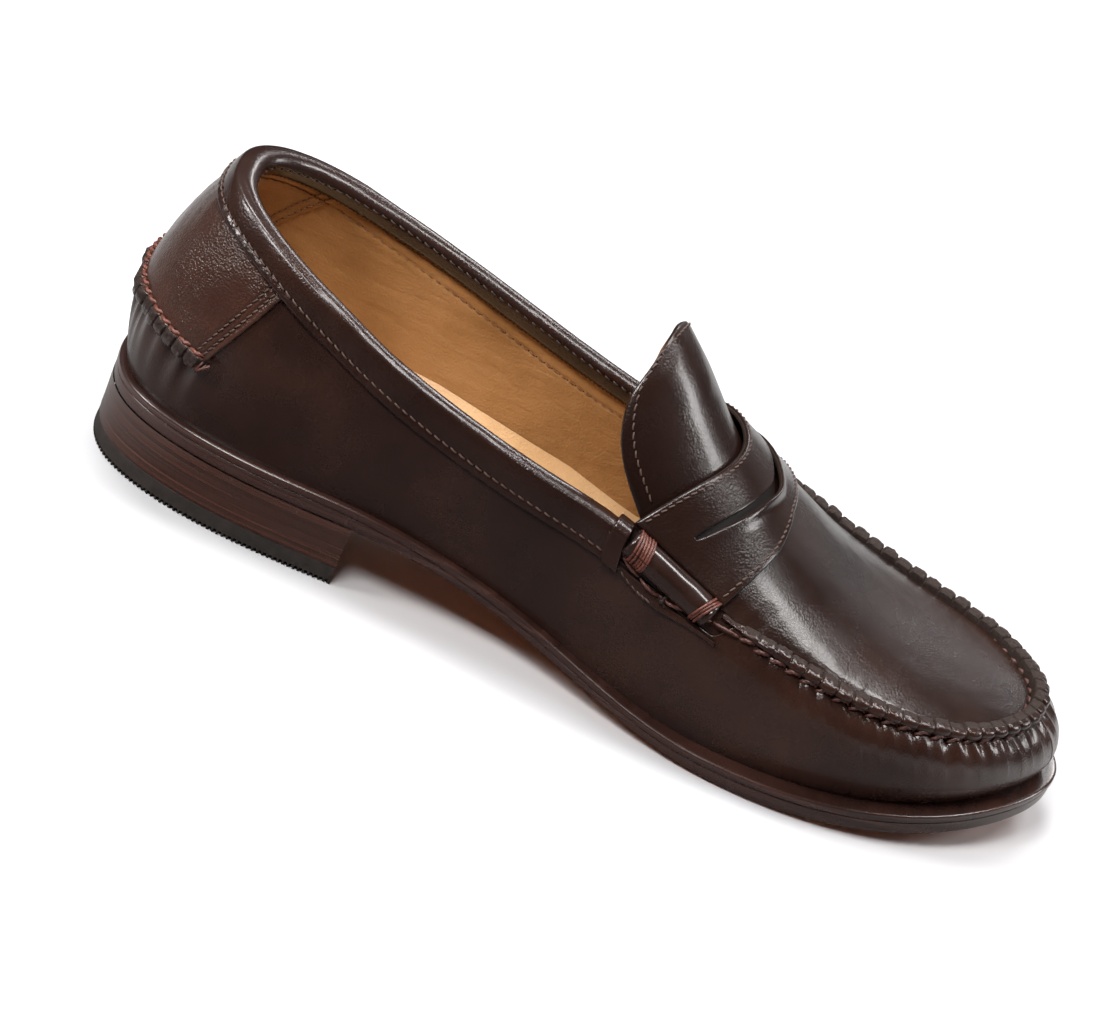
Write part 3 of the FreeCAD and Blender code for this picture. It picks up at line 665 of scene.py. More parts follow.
def build_world(scene):
    """A studio dome: soft overhead, bright behind the shoe and past the toe, dark at the camera's side."""
    world = bpy.data.worlds.new("studio")
    world.use_nodes = True
    nodes = Nodes(world.node_tree)
    direction = nodes.node("ShaderNodeTexCoord").outputs["Generated"]
    # Each lobe has its aim and its brightness by how nearly a direction points at it.
    lobes = [
        ((-0.40, 0.22, 0.89), [(0.0, 0.002), (0.35, 0.010), (0.66, 0.055), (0.95, 0.34)]),
        ((0.33, 0.85, 0.40), [(0.86, 0.0), (0.93, 0.08), (0.97, 0.35), (0.995, 0.70)]),
        ((0.93, -0.10, 0.20), [(0.55, 0.0), (0.80, 0.05), (0.98, 0.28)]),
    ]
    total = None
    for aim, stops in lobes:
        facing = nodes.node("ShaderNodeVectorMath", {0: direction, 1: aim}, operation="DOT_PRODUCT")
        tinted = [(at, (level, level * 1.01, level * 1.04)) for at, level in stops]
        glow = nodes.ramp(facing.outputs["Value"], tinted)
        total = glow if total is None else nodes.vectors("ADD", {0: total, 1: glow})
    nodes.feed(world.node_tree.nodes["Background"].inputs["Color"], total)
    scene.world = world


def floor_material():
    """A white table. Its mirror image in the leather is dimmer than the table itself, most of all on the
    camera's side, as it is when a table ends a little way in front of the shoe."""
    s = Shader("studio_floor")
    glossy = s.node("ShaderNodeLightPath").outputs["Is Glossy Ray"]
    split = s.node("ShaderNodeSeparateXYZ", {"Vector": s.coord}).outputs
    toward_toe = s.remap(split["X"], -0.10, 0.30, 0.0, 0.20)
    behind = s.remap(split["Y"], 0.0, 0.25, 0.015, 0.30)
    away = s.node("ShaderNodeVectorMath", {0: s.coord}, operation="LENGTH").outputs["Value"]
    ends = s.remap(s.maths("ABSOLUTE", split["X"]), 0.13, 0.20, 0.0, 1.0)
    beside = s.maths("MULTIPLY", ends, s.remap(away, 0.18, 0.42, 0.28, 0.0))
    mirrored = s.maths("ADD", s.maths("ADD", toward_toe, behind), beside)
    colour = s.mix(glossy, (0.57, 0.57, 0.585), mirrored)
    # Far from the shoe the table runs up into a lit white sweep.
    seen = s.node("ShaderNodeLightPath").outputs["Is Camera Ray"]
    sweep = s.maths("MULTIPLY", seen, s.remap(away, 0.22, 0.8, 0.0, 0.45))
    return s.set(Base_Color=colour, Roughness=0.7, Specular_IOR_Level=0.2, Emission_Color=(1.0, 1.0, 1.0),
                 Emission_Strength=sweep)


def build_studio():
    scene = bpy.context.scene
    camera = bpy.data.cameras.new("camera")
    camera.lens = 131.44
    camera.sensor_width = 36
    camera.clip_start, camera.clip_end = 0.05, 60
    obj = bpy.data.objects.new("camera", camera)
    scene.collection.objects.link(obj)
    eye = place((109.7, -1001.1, 643.9))
    obj.matrix_world = look(eye, (0.0168, 0.8533, -0.5212), (-0.4113, 0.4810, 0.7742))
    scene.camera = obj

    mesh = bpy.data.meshes.new("studio_floor")
    half = 6.0
    corners = [(-half, -half, 0), (half, -half, 0), (half, half, 0), (-half, half, 0)]
    mesh.from_pydata(corners, [], [(0, 1, 2, 3)])
    mesh.materials.append(floor_material())
    floor = bpy.data.objects.new("studio_floor", mesh)
    scene.collection.objects.link(floor)

    build_world(scene)
    # The top soft box hangs over the shoe and the key stands above the camera; the others edge contours.
    add_area("softbox_top", (-0.30, 0.20, 1.30), (0, 0, 0.04), 0.55, 15, (1.0, 0.99, 0.98), 0.40)
    add_area("softbox_key", (-0.35, -0.62, 1.05), (-0.02, 0, 0.04), 0.45, 12, (1.0, 0.985, 0.97), 0.30)
    add_area("softbox_back", (0.25, 1.15, 0.75), (0.03, 0, 0.05), 0.40, 2.6, (1.0, 0.99, 0.98), 0.16)
    add_area("softbox_toe", (0.95, 0.25, 0.60), (0.06, 0, 0.03), 0.35, 4, (1.0, 0.99, 0.98), 0.25)
    add_area("softbox_heel", (-1.0, -0.35, 0.75), (-0.08, 0, 0.05), 0.32, 9, (1.0, 0.99, 0.98), 0.25)
    add_area("softbox_over", (0.45, 0.12, 1.10), (0.02, 0, 0.07), 0.50, 7, (1.0, 0.99, 0.98), 0.20)
    scene.view_settings.view_transform = "Standard"
    scene.view_settings.look = "None"
    scene.view_settings.exposure = 0.0


# ---------------------------------------------------------------- shared seam places
HOLES = even(top_rail, 6.2, 13.8, count=45)


def seam_phase(station):
    """Place within a stitch from 0 to 1, and the stitch's number."""
    k = np.interp(station, HOLES, np.arange(len(HOLES)), left=-1, right=len(HOLES))
    number = np.floor(np.clip(k, 0, len(HOLES) - 1.001))
    return np.clip(k - number, 0, 1), number


def seam_strength(station):
    """0 beside the rolls, 1 round the forefoot."""
    return smoothstep(6.1, 6.9, station) * (1 - smoothstep(13.1, 13.9, station))


RAIL_LINE = np.linspace(0, STATIONS, 4001)
RAIL_WAY = travelled(top_rail(RAIL_LINE))


def rail_mm(station):
    """Way along the rail in millimetres."""
    return np.interp(np.mod(station, STATIONS), RAIL_LINE, RAIL_WAY)


def wall_relief(station, height):
    """Puckers and soft creases of the wall, in millimetres along its normal."""
    phase, number = seam_phase(station)
    strength = seam_strength(station)
    below = np.clip(1 - height, 0, 1)
    seed_depth = 0.45 + 0.55 * hashed(number, 3)
    toe = np.exp(-((station - 10.2) / 2.1) ** 2)
    # A crease runs down from every hole and opens out as it goes.
    edge = np.minimum(phase, 1 - phase)
    nearest = np.where(phase < 0.5, number, number + 1)
    reach = 0.16 + 0.34 * hashed(nearest, 7) + 0.06 * toe
    width = 0.10 + 0.9 * below / 0.5
    depth = (0.35 + 0.55 * hashed(nearest, 9)) * np.exp(-(below / reach) ** 1.3)
    pucker = -(1.15 + 0.15 * toe) * depth * np.exp(-(edge / np.maximum(width, 0.05)) ** 1.6)
    swell = (0.15 + 0.35 * toe) * seed_depth * np.sin(math.pi * phase) * np.exp(-(below / 0.12) ** 1.2)
    # Long folds of uneven width reach further down.
    way = rail_mm(station)
    long_folds = noise1(way / 5.2 + 0.6 * noise1(way / 23, 5), 21) * 0.50
    long_folds = long_folds + noise1(way / 2.6, 23) * 0.26
    fade = np.exp(-(below / (0.36 + 0.14 * noise1(way / 11, 31))) ** 2) * smoothstep(-0.02, 0.10, below)
    relief = strength * (pucker + swell + (0.95 + 0.2 * toe) * long_folds * fade)
    # Hand-lasted unevenness everywhere, and walking creases across the vamp's side.
    relief = relief + 0.22 * noise2(way / 34, height * 2.2, 41) + 0.10 * noise2(way / 13, height * 5, 43)
    return relief


def heel_pucker(station, height):
    """Gathers of the wall under the heel patch's seam."""
    share = station / PATCH_REACH
    inside = 1 - smoothstep(0.98, 1.12, np.abs(share))
    foot = patch_foot(np.clip(share, -1, 1))
    below = np.clip(foot - height, 0, 1)
    k = (np.clip(share, -1, 1) + 1) * 7.5
    folds = noise1(k * 1.9, 61) * 0.9 + 0.5 * np.cos(2 * math.pi * k)
    return inside * folds * 2.2 * np.exp(-(below / 0.15) ** 1.4) * (height < foot + 0.03)


def patch_foot(share):
    """Height of the patch's lower edge; share runs from -1 to 1 between its front edges."""
    return 0.385 - 0.035 * share ** 2


def patch_layer(share, rise, lift=0.0):
    """A point lift millimetres outside the wall under the heel patch; rise runs 0 to 1 up the patch."""
    share, rise = np.broadcast_arrays(np.asarray(share, float), np.asarray(rise, float))
    station = share * (PATCH_REACH + 0.25 * rise)
    height = patch_foot(share) + (TOPLINE_END - 0.02 - patch_foot(share)) * rise
    return wall_layer(station, height, lift)


def wall_surface(station, height):
    """The wall's outer face with its puckers, creases and gathers."""
    relief = wall_relief(station, height) + heel_pucker(signed(station), height)
    return wall_layer(station, height, relief * smoothstep(0.0, 0.10, height))


# ---------------------------------------------------------------- upper: wall and seam ridge
def build_wall():
    stations = np.concatenate([
        np.linspace(0.0, 1.9, 220, endpoint=False), np.linspace(1.9, 6.0, 230, endpoint=False),
        np.linspace(6.0, 14.0, 1000, endpoint=False), np.linspace(14.0, 18.1, 230, endpoint=False),
        np.linspace(18.1, 20.0, 220)])
    share = np.concatenate([np.linspace(0, 0.72, 44, endpoint=False), np.linspace(0.72, 1, 34)])
    uncut = 0.955 + (1.03 - 0.955) * smoothstep(GAP_CLOSES, GAP_CLOSED, from_heel(stations))
    top = uncut + (ROLL_SHELF - uncut) * roll_gap(stations)
    heights = share[None] * top[:, None]
    station_net = np.broadcast_to(stations[:, None], heights.shape)
    outer = wall_surface(station_net, heights)
    mesh = Mesh()
    tuck = outer[:, -1:] - wall_normal(stations[:, None], top[:, None]) * 1.5
    net = np.concatenate([outer, tuck], axis=1)
    mesh.grid(net)
    mesh.build("wall_leather", UPPER, nodes=["moccasin_wall"], slot="upper_leather")


def ridge_net(frames, phase, number, strength, height, width, shelf):
    """Cross-sections of a scalloped seam ridge. frames is (origin, out, up) for every section."""
    origin, out, up = frames
    bulge = np.sin(math.pi * np.clip(phase, 0, 1)) ** 0.30
    skew = phase ** 0.6 * (1 - phase) ** 0.35 / 0.62
    vary = 0.7 + 0.6 * hashed(number, 13)
    swell = (0.05 + 1.45 * (0.6 * bulge + 0.4 * skew) * vary) * strength
    uneven = 0.22 * (hashed(number, 17) - 0.5) * bulge
    slit = 0.20 * np.exp(-(np.minimum(phase, 1 - phase) / 0.06) ** 2)
    tall = height * (0.86 + 0.10 * bulge * vary + uneven - slit) * (0.45 + 0.55 * strength)
    profile = []
    # Outer foot, outer face, worn cut top, inner face, inner foot: (out, up) pairs.
    turns = [
        (-0.10, -1.3, 0.0), (0.30, -0.5, 0.1), (0.55, 0.05, 0.5), (0.78, 0.30, 1.0), (0.80, 0.55, 1.0),
        (0.70, 0.76, 0.95), (0.45, 0.90, 0.7), (0.10, 0.97, 0.3), (-0.25, 0.98, 0.05), (-0.55, 0.95, 0.0),
        (-0.85, 0.99, 0.0), (-1.15, 0.97, 0.0), (-1.40, 0.86, 0.0), (-1.55, 0.62, 0.0), (-1.60, 0.35, 0.0),
        (-1.62, 0.05, 0.0), (-1.75, -0.25, 0.0), (-2.1, -0.55, 0.0)]
    for across, rise, puff in turns:
        lateral = across * width * 0.5 + swell * puff
        vertical = np.where(rise > 0, rise * tall, rise * 1.2) + shelf
        profile.append(origin + out * lateral[:, None] + up * np.broadcast_to(vertical, phase.shape)[:, None])
    return np.stack(profile, axis=1)


def add_ridge(name, net, up, way, seed, depth, materials):
    """Roughen a ridge's sections and build it: outer face, worn cut top and inner face."""
    rough = noise2(way[:, None], np.arange(net.shape[1])[None] * 0.7, seed) * depth
    net = net + up[:, None] * rough[..., None]
    mesh = Mesh()
    for part, (first, last) in enumerate(((0, 8), (7, 13), (12, net.shape[1]))):
        mesh.grid(net[:, first:last], slot=part)
    mesh.build(name, materials, slot="upper_leather")


def build_ridge():
    stations = np.linspace(6.02, 13.98, 1500)
    phase, number = seam_phase(stations)
    strength = 0.35 + 0.65 * seam_strength(stations)
    rail = top_rail(stations)
    along = unit(np.gradient(rail, axis=0))
    out = unit(np.cross(along, UP))
    up = np.cross(out, along)
    height = 3.7 * smoothstep(5.95, 6.5, stations) * (1 - smoothstep(13.5, 14.05, stations)) + 0.4
    net = ridge_net((rail, out, up), phase, number, strength, height, 3.4, -0.25)
    add_ridge("seam_ridge", net, up, rail_mm(stations) / 1.1, 71, 0.20, [UPPER, DARK_RAW, DARK_RAW])


def build_seam_threads():
    """Outer running stitches from hole to hole, and slanting ones along the inner foot."""
    outer, inner = Mesh(), Mesh()
    for k, (a, b) in enumerate(zip(HOLES, HOLES[1:])):
        share = np.linspace(0.02, 0.98, 22)
        s = a + (b - a) * share
        arc = np.sin(math.pi * share)
        h = 0.925 + 0.045 * share + 0.01 * (hashed(k, 83) - 0.5)
        lift = -0.9 + 2.1 * arc ** 0.7
        outer.tube(wall_layer(s, h, lift), 0.80 * (0.72 + 0.28 * arc), 10, depth=0.34, twist=0.24)
        share = np.linspace(0.12, 0.80, 16)
        s = a + (b - a) * share
        arc = np.sin(math.pi * np.linspace(0, 1, 16))
        rail = top_rail(s)
        along = unit(np.gradient(rail, axis=0))
        out = unit(np.cross(along, UP))
        path = rail - out * (2.6 + 0.9 * np.linspace(0, 1, 16))[:, None]
        drop = -1.0 + 1.5 * arc ** 0.7 + 0.25
        path = path + UP * drop[:, None]
        inner.tube(path, 0.58 * (0.75 + 0.25 * arc), 9, depth=0.34, twist=0.28)
    outer.build("seam_stitches_outer", HAND_THREAD, nodes=["apron_seam_thread"], slot="hand_thread")
    inner.build("seam_stitches_inner", HAND_THREAD, slot="hand_thread")


# ---------------------------------------------------------------- upper: apron, strap, tongue
def build_apron():
    backs, sides = np.linspace(0.0, 1.0, 260), np.linspace(-0.985, 0.985, 200)
    u, v = np.meshgrid(backs, sides, indexing="ij")
    rim = np.minimum(smoothstep(0.0, 0.05, u), smoothstep(0, 0.10, 0.965 - np.abs(v)))
    way = 180 * u
    relief = 0.16 * noise2(u * 4, v * 2.5, 101) + 0.05 * noise2(u * 14, v * 8, 103)
    # Small draws in the leather along the seam.
    draw = (1 - np.clip((0.965 - np.abs(v)) / 0.22, 0, 1)) * smoothstep(0.02, 0.1, u)
    relief = relief * rim + 0.16 * draw * noise1(way / 3.1 + np.sign(v) * 40, 107)
    sag = -0.5 * (1 - rim)
    outer = apron_layer(u, v, relief + sag)
    mesh = Mesh()
    mesh.grid(outer, flip=True)
    mesh.build("apron_leather", APRON_CALF, nodes=["apron"], slot="upper_leather")


def strap_front(side):
    """The strap's front edge on the apron."""
    return 0.733 + 0.005 * np.abs(side) + 0.02 * np.maximum(0, 1 - np.abs(side) / 0.5)


def strap_point(share, side):
    """Place on the apron by the share of the strap's width."""
    front = strap_front(side)
    return front + (1.0 - front) * share


SLOT_END = 0.84


def slot_middle(side):
    """The slot's middle line, as a share of the strap's width."""
    return 0.40 + 0.2 * np.abs(side) - 0.04 * np.exp(-(side / 0.2) ** 2)


def slot_half(side):
    """Half the slot's width, pointed at its ends."""
    along = np.clip(1 - (np.abs(side) / SLOT_END) ** 12, 0, 1)
    return (0.034 + 0.018 * np.exp(-(side / 0.3) ** 2)) * np.sqrt(along)


def strap_lift(share, side):
    """The strap is sewn down along its upper and lower edges and bridges a little in between."""
    arch = np.sin(math.pi * np.clip(share, 0, 1)) ** 0.8 * (1 - np.abs(side) ** 3)
    open_part = (1 - (np.abs(side) / SLOT_END) ** 4).clip(0, 1)
    rise = 0.6 + 0.9 * np.exp(-(side / 0.4) ** 2)
    lower_lip = rise * np.exp(-((share - slot_middle(side) + 0.05) / 0.07) ** 2) * open_part
    return 1.75 + 0.9 * arch + lower_lip + 0.12 * noise2(share * 3 + 7, side * 4, 111)


def build_strap():
    half, thickness = 0.975, 1.5
    ends = [SLOT_END * f for f in (0.90, 0.94, 0.965, 0.98, 0.99, 0.996, 1.0)]
    sides = np.unique(np.concatenate([clustered(-half, half, 220, 0.3), ends, [-e for e in ends]]))
    mesh = Mesh()
    open_slot = slot_half(sides) > 1e-4
    for lower in (True, False):
        t = clustered(0, 1, 26, 0.85)
        middle, gap = slot_middle(sides)[:, None], slot_half(sides)[:, None]
        share = (middle - gap) * t[None] if lower else (middle + gap) + (1 - middle - gap) * t[None]
        side = np.broadcast_to(sides[:, None], share.shape)
        back = strap_point(share, side)
        base = apron_point(back, side)
        lift = strap_lift(share, side)
        edges = ("u0", "u1", "v0") if lower else ("u0", "u1", "v1")
        sink = edge_sink(base, 0.7, edges)
        slot_edge = edge_sink(base, 0.6, ("v1",) if lower else ("v0",)) * open_slot[:, None]
        outer = apron_layer(back, side, lift - np.maximum(sink, slot_edge))
        inner = apron_layer(back, side, lift - thickness - 0.2)
        mesh.grid(outer, flip=True)
        mesh.grid(inner)
        for column, is_slot in ((0, not lower), (-1, lower)):
            wall = np.stack([outer[:, column], inner[:, column]], axis=1)
            keep = np.zeros((len(sides) - 1, 1), bool)
            keep[:, 0] = (open_slot[:-1] | open_slot[1:]) if is_slot else True
            mesh.grid(wall, flip=column == -1, slot=1, keep=keep)
        for row in (0, -1):
            wall = np.stack([outer[row], inner[row]], axis=1)
            mesh.grid(wall, flip=row == 0, slot=1)
    mesh.build("saddle_strap_leather", [APRON_CALF, RAW], nodes=["saddle_strap"], slot="upper_leather",
               weld=True)


def build_painted_slot_shade():
    """A dark sheet under the slot: painted shade for the slot's depth."""
    under = Mesh()
    side = np.linspace(-SLOT_END * 0.99, SLOT_END * 0.99, 120)[:, None]
    share = slot_middle(side) + np.linspace(-0.09, 0.09, 6)[None]
    side = np.broadcast_to(side, share.shape)
    under.grid(apron_layer(strap_point(share, side), side, np.full(share.shape, 0.12)), flip=True)
    under.build("painted_slot_shade", PAINTED_SLOT_SHADE)


def tongue_outline(u, v):
    """Rise and side of the point u, v of the tongue's own grid; its upper corners are rounded."""
    tip = np.clip((u - 0.70) / 0.30, 0, 1)
    side = v * 0.985 * (1 - 0.34 * tip ** 2.2)
    return u - 0.05 * tip ** 2 * np.abs(v) ** 2.5, side


def tongue_relief(u, v):
    """Soft unevenness of the tongue's leather."""
    return 0.30 * noise2(u * 3, v * 2, 121) + 0.08 * noise2(u * 8, v * 5, 123)


def build_tongue():
    rises, sides = clustered(-0.10, 1.0, 120, 0.6), clustered(-1, 1, 110, 0.8)
    u, v = np.meshgrid(rises, sides, indexing="ij")
    rise, side = tongue_outline(u, v)
    base = tongue_point(rise, side)
    relief = tongue_relief(u, v)
    edge = edge_sink(base, 0.8, ("u1", "v0", "v1"))
    seat = -0.5 * edge_sink(base, 4.5, ("u1", "v0", "v1")) / 4.5
    mesh = Mesh()
    outer = tongue_layer(rise, side, relief + seat - edge)
    inner = tongue_layer(rise, side, relief - 1.35)
    mesh.shell(outer, inner, flip=True)
    top = mesh.build("tongue_leather", [APRON_CALF, DARK_RAW], body=None, nodes=["tongue"],
                     slot="upper_leather")
    lining = Mesh()
    rise, side = tongue_outline(0.985 * u, 0.975 * v)
    outer = tongue_layer(rise, side, relief - 1.45)
    inner = tongue_layer(rise, side, relief - 2.5 + edge * 0.8)
    lining.shell(outer, inner, flip=True)
    under = lining.build("tongue_lining_leather", [LINING, RAW_TAN], body=None, nodes=["tongue_lining"],
                         slot="lining_leather")
    stitches, holes = Mesh(), Mesh()
    inset = 2.2

    def edge_line(t):
        """Runs up the outer edge, over the tip and down the inner edge, inset from the cut edge."""
        t = np.asarray(t, float)
        left, right = t < 1, t > 2
        uu = np.where(left, t, np.where(right, 3 - t, 1.0)) * (1 - inset / 48.0)
        vv = np.where(left, -1.0, np.where(right, 1.0, (t - 1.5) * 2)) * (1 - inset / 32.0)
        rise, side = tongue_outline(uu, vv)
        return tongue_layer(rise, side, tongue_relief(uu, vv))

    rim_seam(edge_line, 0.03, 2.97, 2.7, stitches, holes)
    thread = stitches.build("tongue_stitches", FINE_THREAD, body=None)
    needle_holes = holes.build("tongue_holes", HOLE, body=None)
    return [top, under, thread, needle_holes]


def rim_seam(line, first, last, pitch, stitches, holes):
    """Machine stitches along line(t) that face away from the line's middle, with needle holes between."""
    t = even(line, first, last, pitch=pitch)
    centre = line(np.linspace(first, last, 50)).mean(0)
    for a, b in zip(t, t[1:]):
        inner = np.linspace(0.13, 0.87, 7)
        path = line(a + (b - a) * inner)
        normal = np.broadcast_to(unit(path.mean(0) - centre), path.shape)
        arc = np.sin(math.pi * np.linspace(0, 1, 7)) ** 0.6
        across = unit(np.cross(unit(path[-1] - path[0]), normal[3]))
        lean = across * 0.18 * np.linspace(-1, 1, 7)[:, None]
        stitches.tube(path + normal * (arc * 0.42 - 0.22)[:, None] + lean, STITCH_RADIUS, 6)
        hole = line(np.array([a]))[0] + normal[0] * 0.02
        dot(holes, hole, normal[0], HOLE_RADIUS)


def dot(mesh, centre, normal, radius):
    """A small dark dimple: a low cone facing out."""
    side = unit(np.cross(normal, np.array([0.31, 0.62, 0.72])))
    other = np.cross(normal, side)
    angle = np.linspace(0, 2 * math.pi, 7)[:-1]
    ring = centre + radius * (side * np.cos(angle)[:, None] + other * np.sin(angle)[:, None]) - normal * 0.05
    mesh.add(np.concatenate([ring, (centre + normal * 0.07)[None]]), fan(6))


class Seam:
    """Rows of machine stitches, with needle holes between them."""

    def __init__(self):
        self.stitches, self.holes = Mesh(), Mesh()

    def row(self, face, first, last, pitch, radius=STITCH_RADIUS, share=0.72, hole=HOLE_RADIUS):
        """Add a row along a line on a face; face(t) gives points and normals."""
        t = even(lambda q: face(q)[0], first, last, pitch=pitch)
        steps = np.linspace(0, 1, 7)
        spans = t[:-1, None] + np.diff(t)[:, None] * (0.5 + share * (steps[None] - 0.5))
        points, normals = face(spans.ravel())
        points, normals = points.reshape(-1, 7, 3), normals.reshape(-1, 7, 3)
        arc = np.sin(math.pi * steps) ** 0.6 * (radius * 1.7) - radius * 0.85
        for path, normal in zip(points, normals):
            across = unit(np.cross(path[-1] - path[0], normal[3]))
            slant = across * 0.16 * np.linspace(-1, 1, 7)[:, None]
            self.stitches.tube(path + normal * arc[:, None] + slant, radius, 6)
        for point, normal in zip(*face(t)):
            dot(self.holes, point, normal, hole)

    def build(self, stitches_name, holes_name, thread=FINE_THREAD, hole=HOLE):
        self.stitches.build(stitches_name, thread)
        self.holes.build(holes_name, hole)


# ---------------------------------------------------------------- collar round the mouth
def spline_basis(controls, samples):
    """Matrix that turns a row of control points into samples of a clamped cubic spline."""
    degree = 3
    knots = np.concatenate([np.zeros(degree), np.linspace(0, 1, controls - degree + 1), np.ones(degree)])
    t = np.clip(np.asarray(samples, float), 0, 1 - 1e-9)
    basis = ((t[:, None] >= knots[None, :-1]) & (t[:, None] < knots[None, 1:])).astype(float)
    for d in range(1, degree + 1):
        width = len(knots) - d - 1
        left = knots[d:d + width] - knots[:width]
        right = knots[d + 1:d + 1 + width] - knots[1:1 + width]
        before, after = t[:, None] - knots[None, :width], knots[None, d + 1:d + 1 + width] - t[:, None]
        a = np.where(left > 0, before / np.where(left > 0, left, 1), 0)
        b = np.where(right > 0, after / np.where(right > 0, right, 1), 0)
        basis = a * basis[:, :width] + b * basis[:, 1:width + 1]
    return basis


def find_collar_start():
    stations, heights = np.linspace(-5.2, 5.2, 209), np.linspace(0.5, 1.0, 300)
    points = wall_point(stations[:, None], heights[None])
    gap = np.linalg.norm(points - top_rail(stations)[:, None], axis=-1)
    return stations, np.array([np.interp(-COLLAR_WIDTH, -row, heights) for row in gap])


COLLAR_STATIONS, COLLAR_LOW = find_collar_start()


def collar_start(station):
    return np.interp(signed(station), COLLAR_STATIONS, COLLAR_LOW)


def patch_cover(station):
    """1 where the heel patch lies under the collar."""
    return 1 - smoothstep(1.95, 2.4, np.abs(signed(station)))


def collar_controls(station, skin):
    """Control points across the collar: up the band, over the fold, down inside the mouth."""
    leather = 1.2
    face = leather * (1 - skin)
    lap = 0.2 + 1.1 * patch_cover(station) + face
    rows = []
    start = collar_start(station)
    for k in range(7):
        h = start + (TOPLINE_END - start) * k / 6
        rows.append(wall_layer(station, h, lap))
    out = wall_normal(station, np.full_like(station, TOPLINE_END))
    up = unit(wall_point(station, 1.0) - wall_point(station, 0.9))
    centre = wall_point(station, TOPLINE_END) - out * 2.0
    fold, tall = 2.2 + face, 1.4 + face
    for turn in np.linspace(18, 162, 9):
        angle = math.radians(turn)
        wide = fold + 0.3 if turn < 90 else fold
        rows.append(centre + out * (wide * math.cos(angle)) + up * (tall * math.sin(angle)))
    for drop in (1.5, 3.9):
        rows.append(centre - out * fold - up * drop)
    return np.stack(rows, axis=1)


def collar_face(station, across, lift=0.0):
    """A point of the collar's outer face; across runs 0 to 1 from its lower edge to inside the mouth."""
    station = np.asarray(station, float)
    across = np.broadcast_to(np.asarray(across, float), station.shape)
    controls = collar_controls(station, 0)
    weights = spline_basis(controls.shape[1], across)
    point = np.einsum("sc,scx->sx", weights, controls)
    step = spline_basis(controls.shape[1], np.clip(across + 0.01, 0, 1))
    back = spline_basis(controls.shape[1], np.clip(across - 0.01, 0, 1))
    dv = np.einsum("sc,scx->sx", step - back, controls)
    ds = wall_point(station + 0.02, 0.9) - wall_point(station - 0.02, 0.9)
    normal = unit(np.cross(ds, dv))
    return point + normal * np.broadcast_to(lift, station.shape)[:, None], normal


def hem_height(station):
    """Height parameter at which the collar's folded-in hem ends inside the mouth."""
    tall = (top_rail(station) - feather(station))[..., 2]
    return TOPLINE_END - 4.4 / tall


def build_collar():
    stations = clustered(-4.95, 4.93, 760, 0.25)
    across = np.unique(np.concatenate([np.linspace(0, 0.05, 7), np.linspace(0.05, 1, 74)]))
    controls = collar_controls(stations, 0)
    weights = spline_basis(controls.shape[1], across)
    net = np.einsum("vc,scx->svx", weights, controls)
    inner = np.einsum("vc,scx->svx", weights, collar_controls(stations, 1))
    ds = np.gradient(net, axis=0)
    dv = np.gradient(net, axis=1)
    normal = unit(np.cross(ds, dv))
    way = rail_mm(stations)[:, None] + np.where(stations < 0, -RAIL_WAY[-1], 0)[:, None]
    a = across[None]
    puff = 0.40 * np.sin(math.pi * np.clip((a - 0.06) / 0.40, 0, 1)) ** 1.2
    row = -0.20 * np.exp(-((a - 0.055) / 0.022) ** 2)
    pull = 0.10 * np.cos(2 * math.pi * way / 2.9) * np.exp(-((a - 0.055) / 0.04) ** 2)
    uneven = 0.16 * noise2(way / 26, a * 3, 131) + 0.05 * noise2(way / 6, a * 9, 133)
    creases = -0.10 * np.maximum(0, noise2(way / 3.4, a * 2, 137) - 0.35) * smoothstep(0.3, 0.6, a)
    sink = edge_sink(net, 0.55, ("u0", "u1", "v0"))
    # The folded-in edge is pinked in small teeth.
    teeth = np.abs(np.mod(way / 1.5, 1) - 0.5) * 2
    reach = smoothstep(0.93, 1.0, a) * (0.55 * teeth - 0.3)
    lift = puff + row + pull + uneven + creases - sink
    teeth_reach = unit(dv) * reach[..., None]
    outer = net + normal * lift[..., None] + teeth_reach
    inner = inner + teeth_reach
    mesh = Mesh()
    mesh.shell(outer, inner)
    mesh.build("collar_leather", [COLLAR_CALF, RAW], nodes=["topline_collar"], slot="collar_leather")
    seam = Seam()
    seam.row(lambda t: collar_face(t, 0.055, -0.12), -ROW_END, ROW_END, 2.9)
    seam.build("collar_stitches", "collar_needle_holes")
    seam = Seam()
    seam.row(lambda t: collar_face(t, 0.93, 0.0), -ROW_END, ROW_END, 3.0, share=0.55)
    seam.build("collar_inner_stitches", "collar_inner_holes", DARK_THREAD)


# ---------------------------------------------------------------- heel patch and its hand-sewn ridge
HEEL_SPAN, HEEL_COUNT = 0.98, 25
PATCH_HALF = 50


